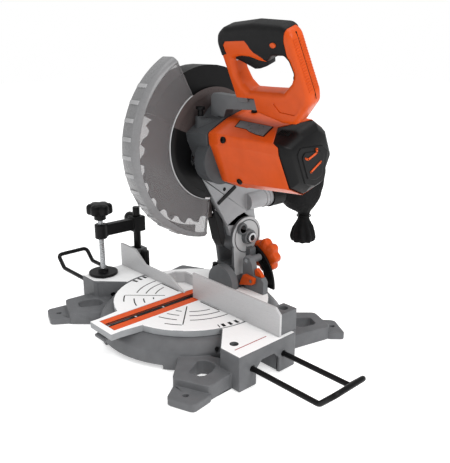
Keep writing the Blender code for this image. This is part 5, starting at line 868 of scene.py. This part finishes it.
def dust_bag():
    source = nodes["dust_bag"].data.copy()
    made = bpy.data.objects.new("bag_cloth", source)
    bpy.context.scene.collection.objects.link(made)
    middle = Vector((16, 245, 152))
    for vert in made.data.vertices:
        here = (vert.co - TABLE_MIDDLE) / MM
        here = middle + (here - middle) * 0.975 if here.y > 222 and here.z > 92 else here
        vert.co = here * MM + TABLE_MIDDLE
    grid = made.modifiers.new("grid", "REMESH")
    grid.mode = "VOXEL"
    grid.voxel_size = 4.0 * MM
    baked(made)
    rest = [vert.co.copy() for vert in made.data.vertices]
    held = made.vertex_groups.new(name="held")
    for vert in made.data.vertices:
        here = (vert.co - TABLE_MIDDLE) / MM
        weight = 1.0 if here.y < 212 or here.z < 104 else 0.0
        held.add([vert.index], weight, "REPLACE")
    cloth = made.modifiers.new("cloth", "CLOTH")
    cloth.settings.vertex_group_mass = "held"
    cloth.settings.use_pressure = True
    cloth.settings.uniform_pressure_force = 4
    cloth.settings.effector_weights.gravity = 0
    cloth.settings.quality = 6
    cloth.point_cache.frame_start = 1
    cloth.point_cache.frame_end = 20
    for tick in range(1, 21):
        bpy.context.scene.frame_set(tick)
    baked(made)
    for vert, start in zip(made.data.vertices, rest):
        drift = vert.co - start
        if drift.length > 3.0 * MM:
            vert.co = start + drift.normalized() * 3.0 * MM
    for vert in made.data.vertices:
        here = (vert.co - TABLE_MIDDLE) / MM
        away = Vector((here.x - 16, here.y - 252))
        if here.z < 112:
            fade = min((112 - here.z) / 20, 1.0)
            turn = math.atan2(away.y, away.x)
            away *= 1 + 0.11 * fade * math.cos(9 * turn + 0.05 * here.z) - 0.06 * fade
            here = Vector((16 + away.x, 252 + away.y, here.z))
        elif here.y > 216:
            fold = math.sin(here.y * 0.16 + here.z * 0.10) * math.sin(here.z * 0.13 - here.x * 0.12)
            here.x += 0.9 * fold * (1 if here.x > 16 else -1)
        vert.co = here * MM + TABLE_MIDDLE
    fine = made.modifiers.new("fine", "SUBSURF")
    fine.levels = 1
    fine.render_levels = 1
    bpy.context.scene.frame_set(1)
    return piece(baked(made), "head", FABRIC, ["dust_bag"], angle=80)


dust_bag()

# ---------------------------------------------------------------- what keeps its CAD shape

for name, obj in nodes.items():
    look = NODE_LOOK[SLOT_OF[name]]
    if not obj.material_slots:
        obj.data.materials.append(look)
    for entry in obj.material_slots:
        entry.material = look

# ---------------------------------------------------------------- floor, light and camera

ground = bpy.data.meshes.new("floor")
ground.from_pydata([(-6, -6, 0), (6, -6, 0), (6, 6, 0), (-6, 6, 0)], [], [(0, 1, 2, 3)])
floor = bpy.data.objects.new("floor", ground)
floor.location.z = loaded_box[0][2] - 0.0005
bpy.context.scene.collection.objects.link(floor)
FLOOR = surface("floor_white", (246, 246, 246), 0.7, spread=0.005, bump=0.0)
FLOOR.node_tree.nodes["Principled BSDF"].inputs["Emission Color"].default_value = (1, 1, 1, 1)
FLOOR.node_tree.nodes["Principled BSDF"].inputs["Emission Strength"].default_value = 0.45
ground.materials.append(FLOOR)

world = bpy.data.worlds.new("studio")
bpy.context.scene.world = world
world.use_nodes = True
tree = world.node_tree
tree.nodes.clear()
out = tree.nodes.new("ShaderNodeOutputWorld")
mix = tree.nodes.new("ShaderNodeMixShader")
path = tree.nodes.new("ShaderNodeLightPath")
soft = tree.nodes.new("ShaderNodeBackground")
soft.inputs["Color"].default_value = (1, 1, 1, 1)
soft.inputs["Strength"].default_value = 0.62
white = tree.nodes.new("ShaderNodeBackground")
white.inputs["Color"].default_value = (1, 1, 1, 1)
white.inputs["Strength"].default_value = 1.0
tree.links.new(path.outputs["Is Camera Ray"], mix.inputs["Fac"])
tree.links.new(soft.outputs["Background"], mix.inputs[1])
tree.links.new(white.outputs["Background"], mix.inputs[2])
tree.links.new(mix.outputs["Shader"], out.inputs["Surface"])


def lamp(name, place, aim, size, power):
    data = bpy.data.lights.new(name, "AREA")
    data.shape = "RECTANGLE"
    data.size, data.size_y = size
    data.energy = power
    made = bpy.data.objects.new(name, data)
    made.location = place
    made.rotation_euler = (Vector(aim) - Vector(place)).to_track_quat("-Z", "Y").to_euler()
    bpy.context.scene.collection.objects.link(made)


lamp("key", (2.4, -0.1, 1.9), (0, 0, 0.2), (1.6, 1.6), 46)
lamp("top", (0.1, 0.2, 2.6), (0, 0, 0.1), (1.8, 1.8), 26)
lamp("front", (-0.8, -2.6, 1.2), (0, 0, 0.2), (1.2, 1.6), 9)

camera_data = bpy.data.cameras.new("camera")
camera_data.lens = 48.28
camera_data.sensor_width = 36
camera_data.sensor_fit = "HORIZONTAL"
camera = bpy.data.objects.new("camera", camera_data)
camera.location = Vector((692.2, -564.7, 388.0)) * MM + TABLE_MIDDLE
camera.rotation_euler = (math.radians(90 - 17.434), 0, math.radians(47.342))
bpy.context.scene.collection.objects.link(camera)
bpy.context.scene.camera = camera
bpy.context.scene.view_settings.view_transform = "Standard"

bpy.context.view_layer.update()
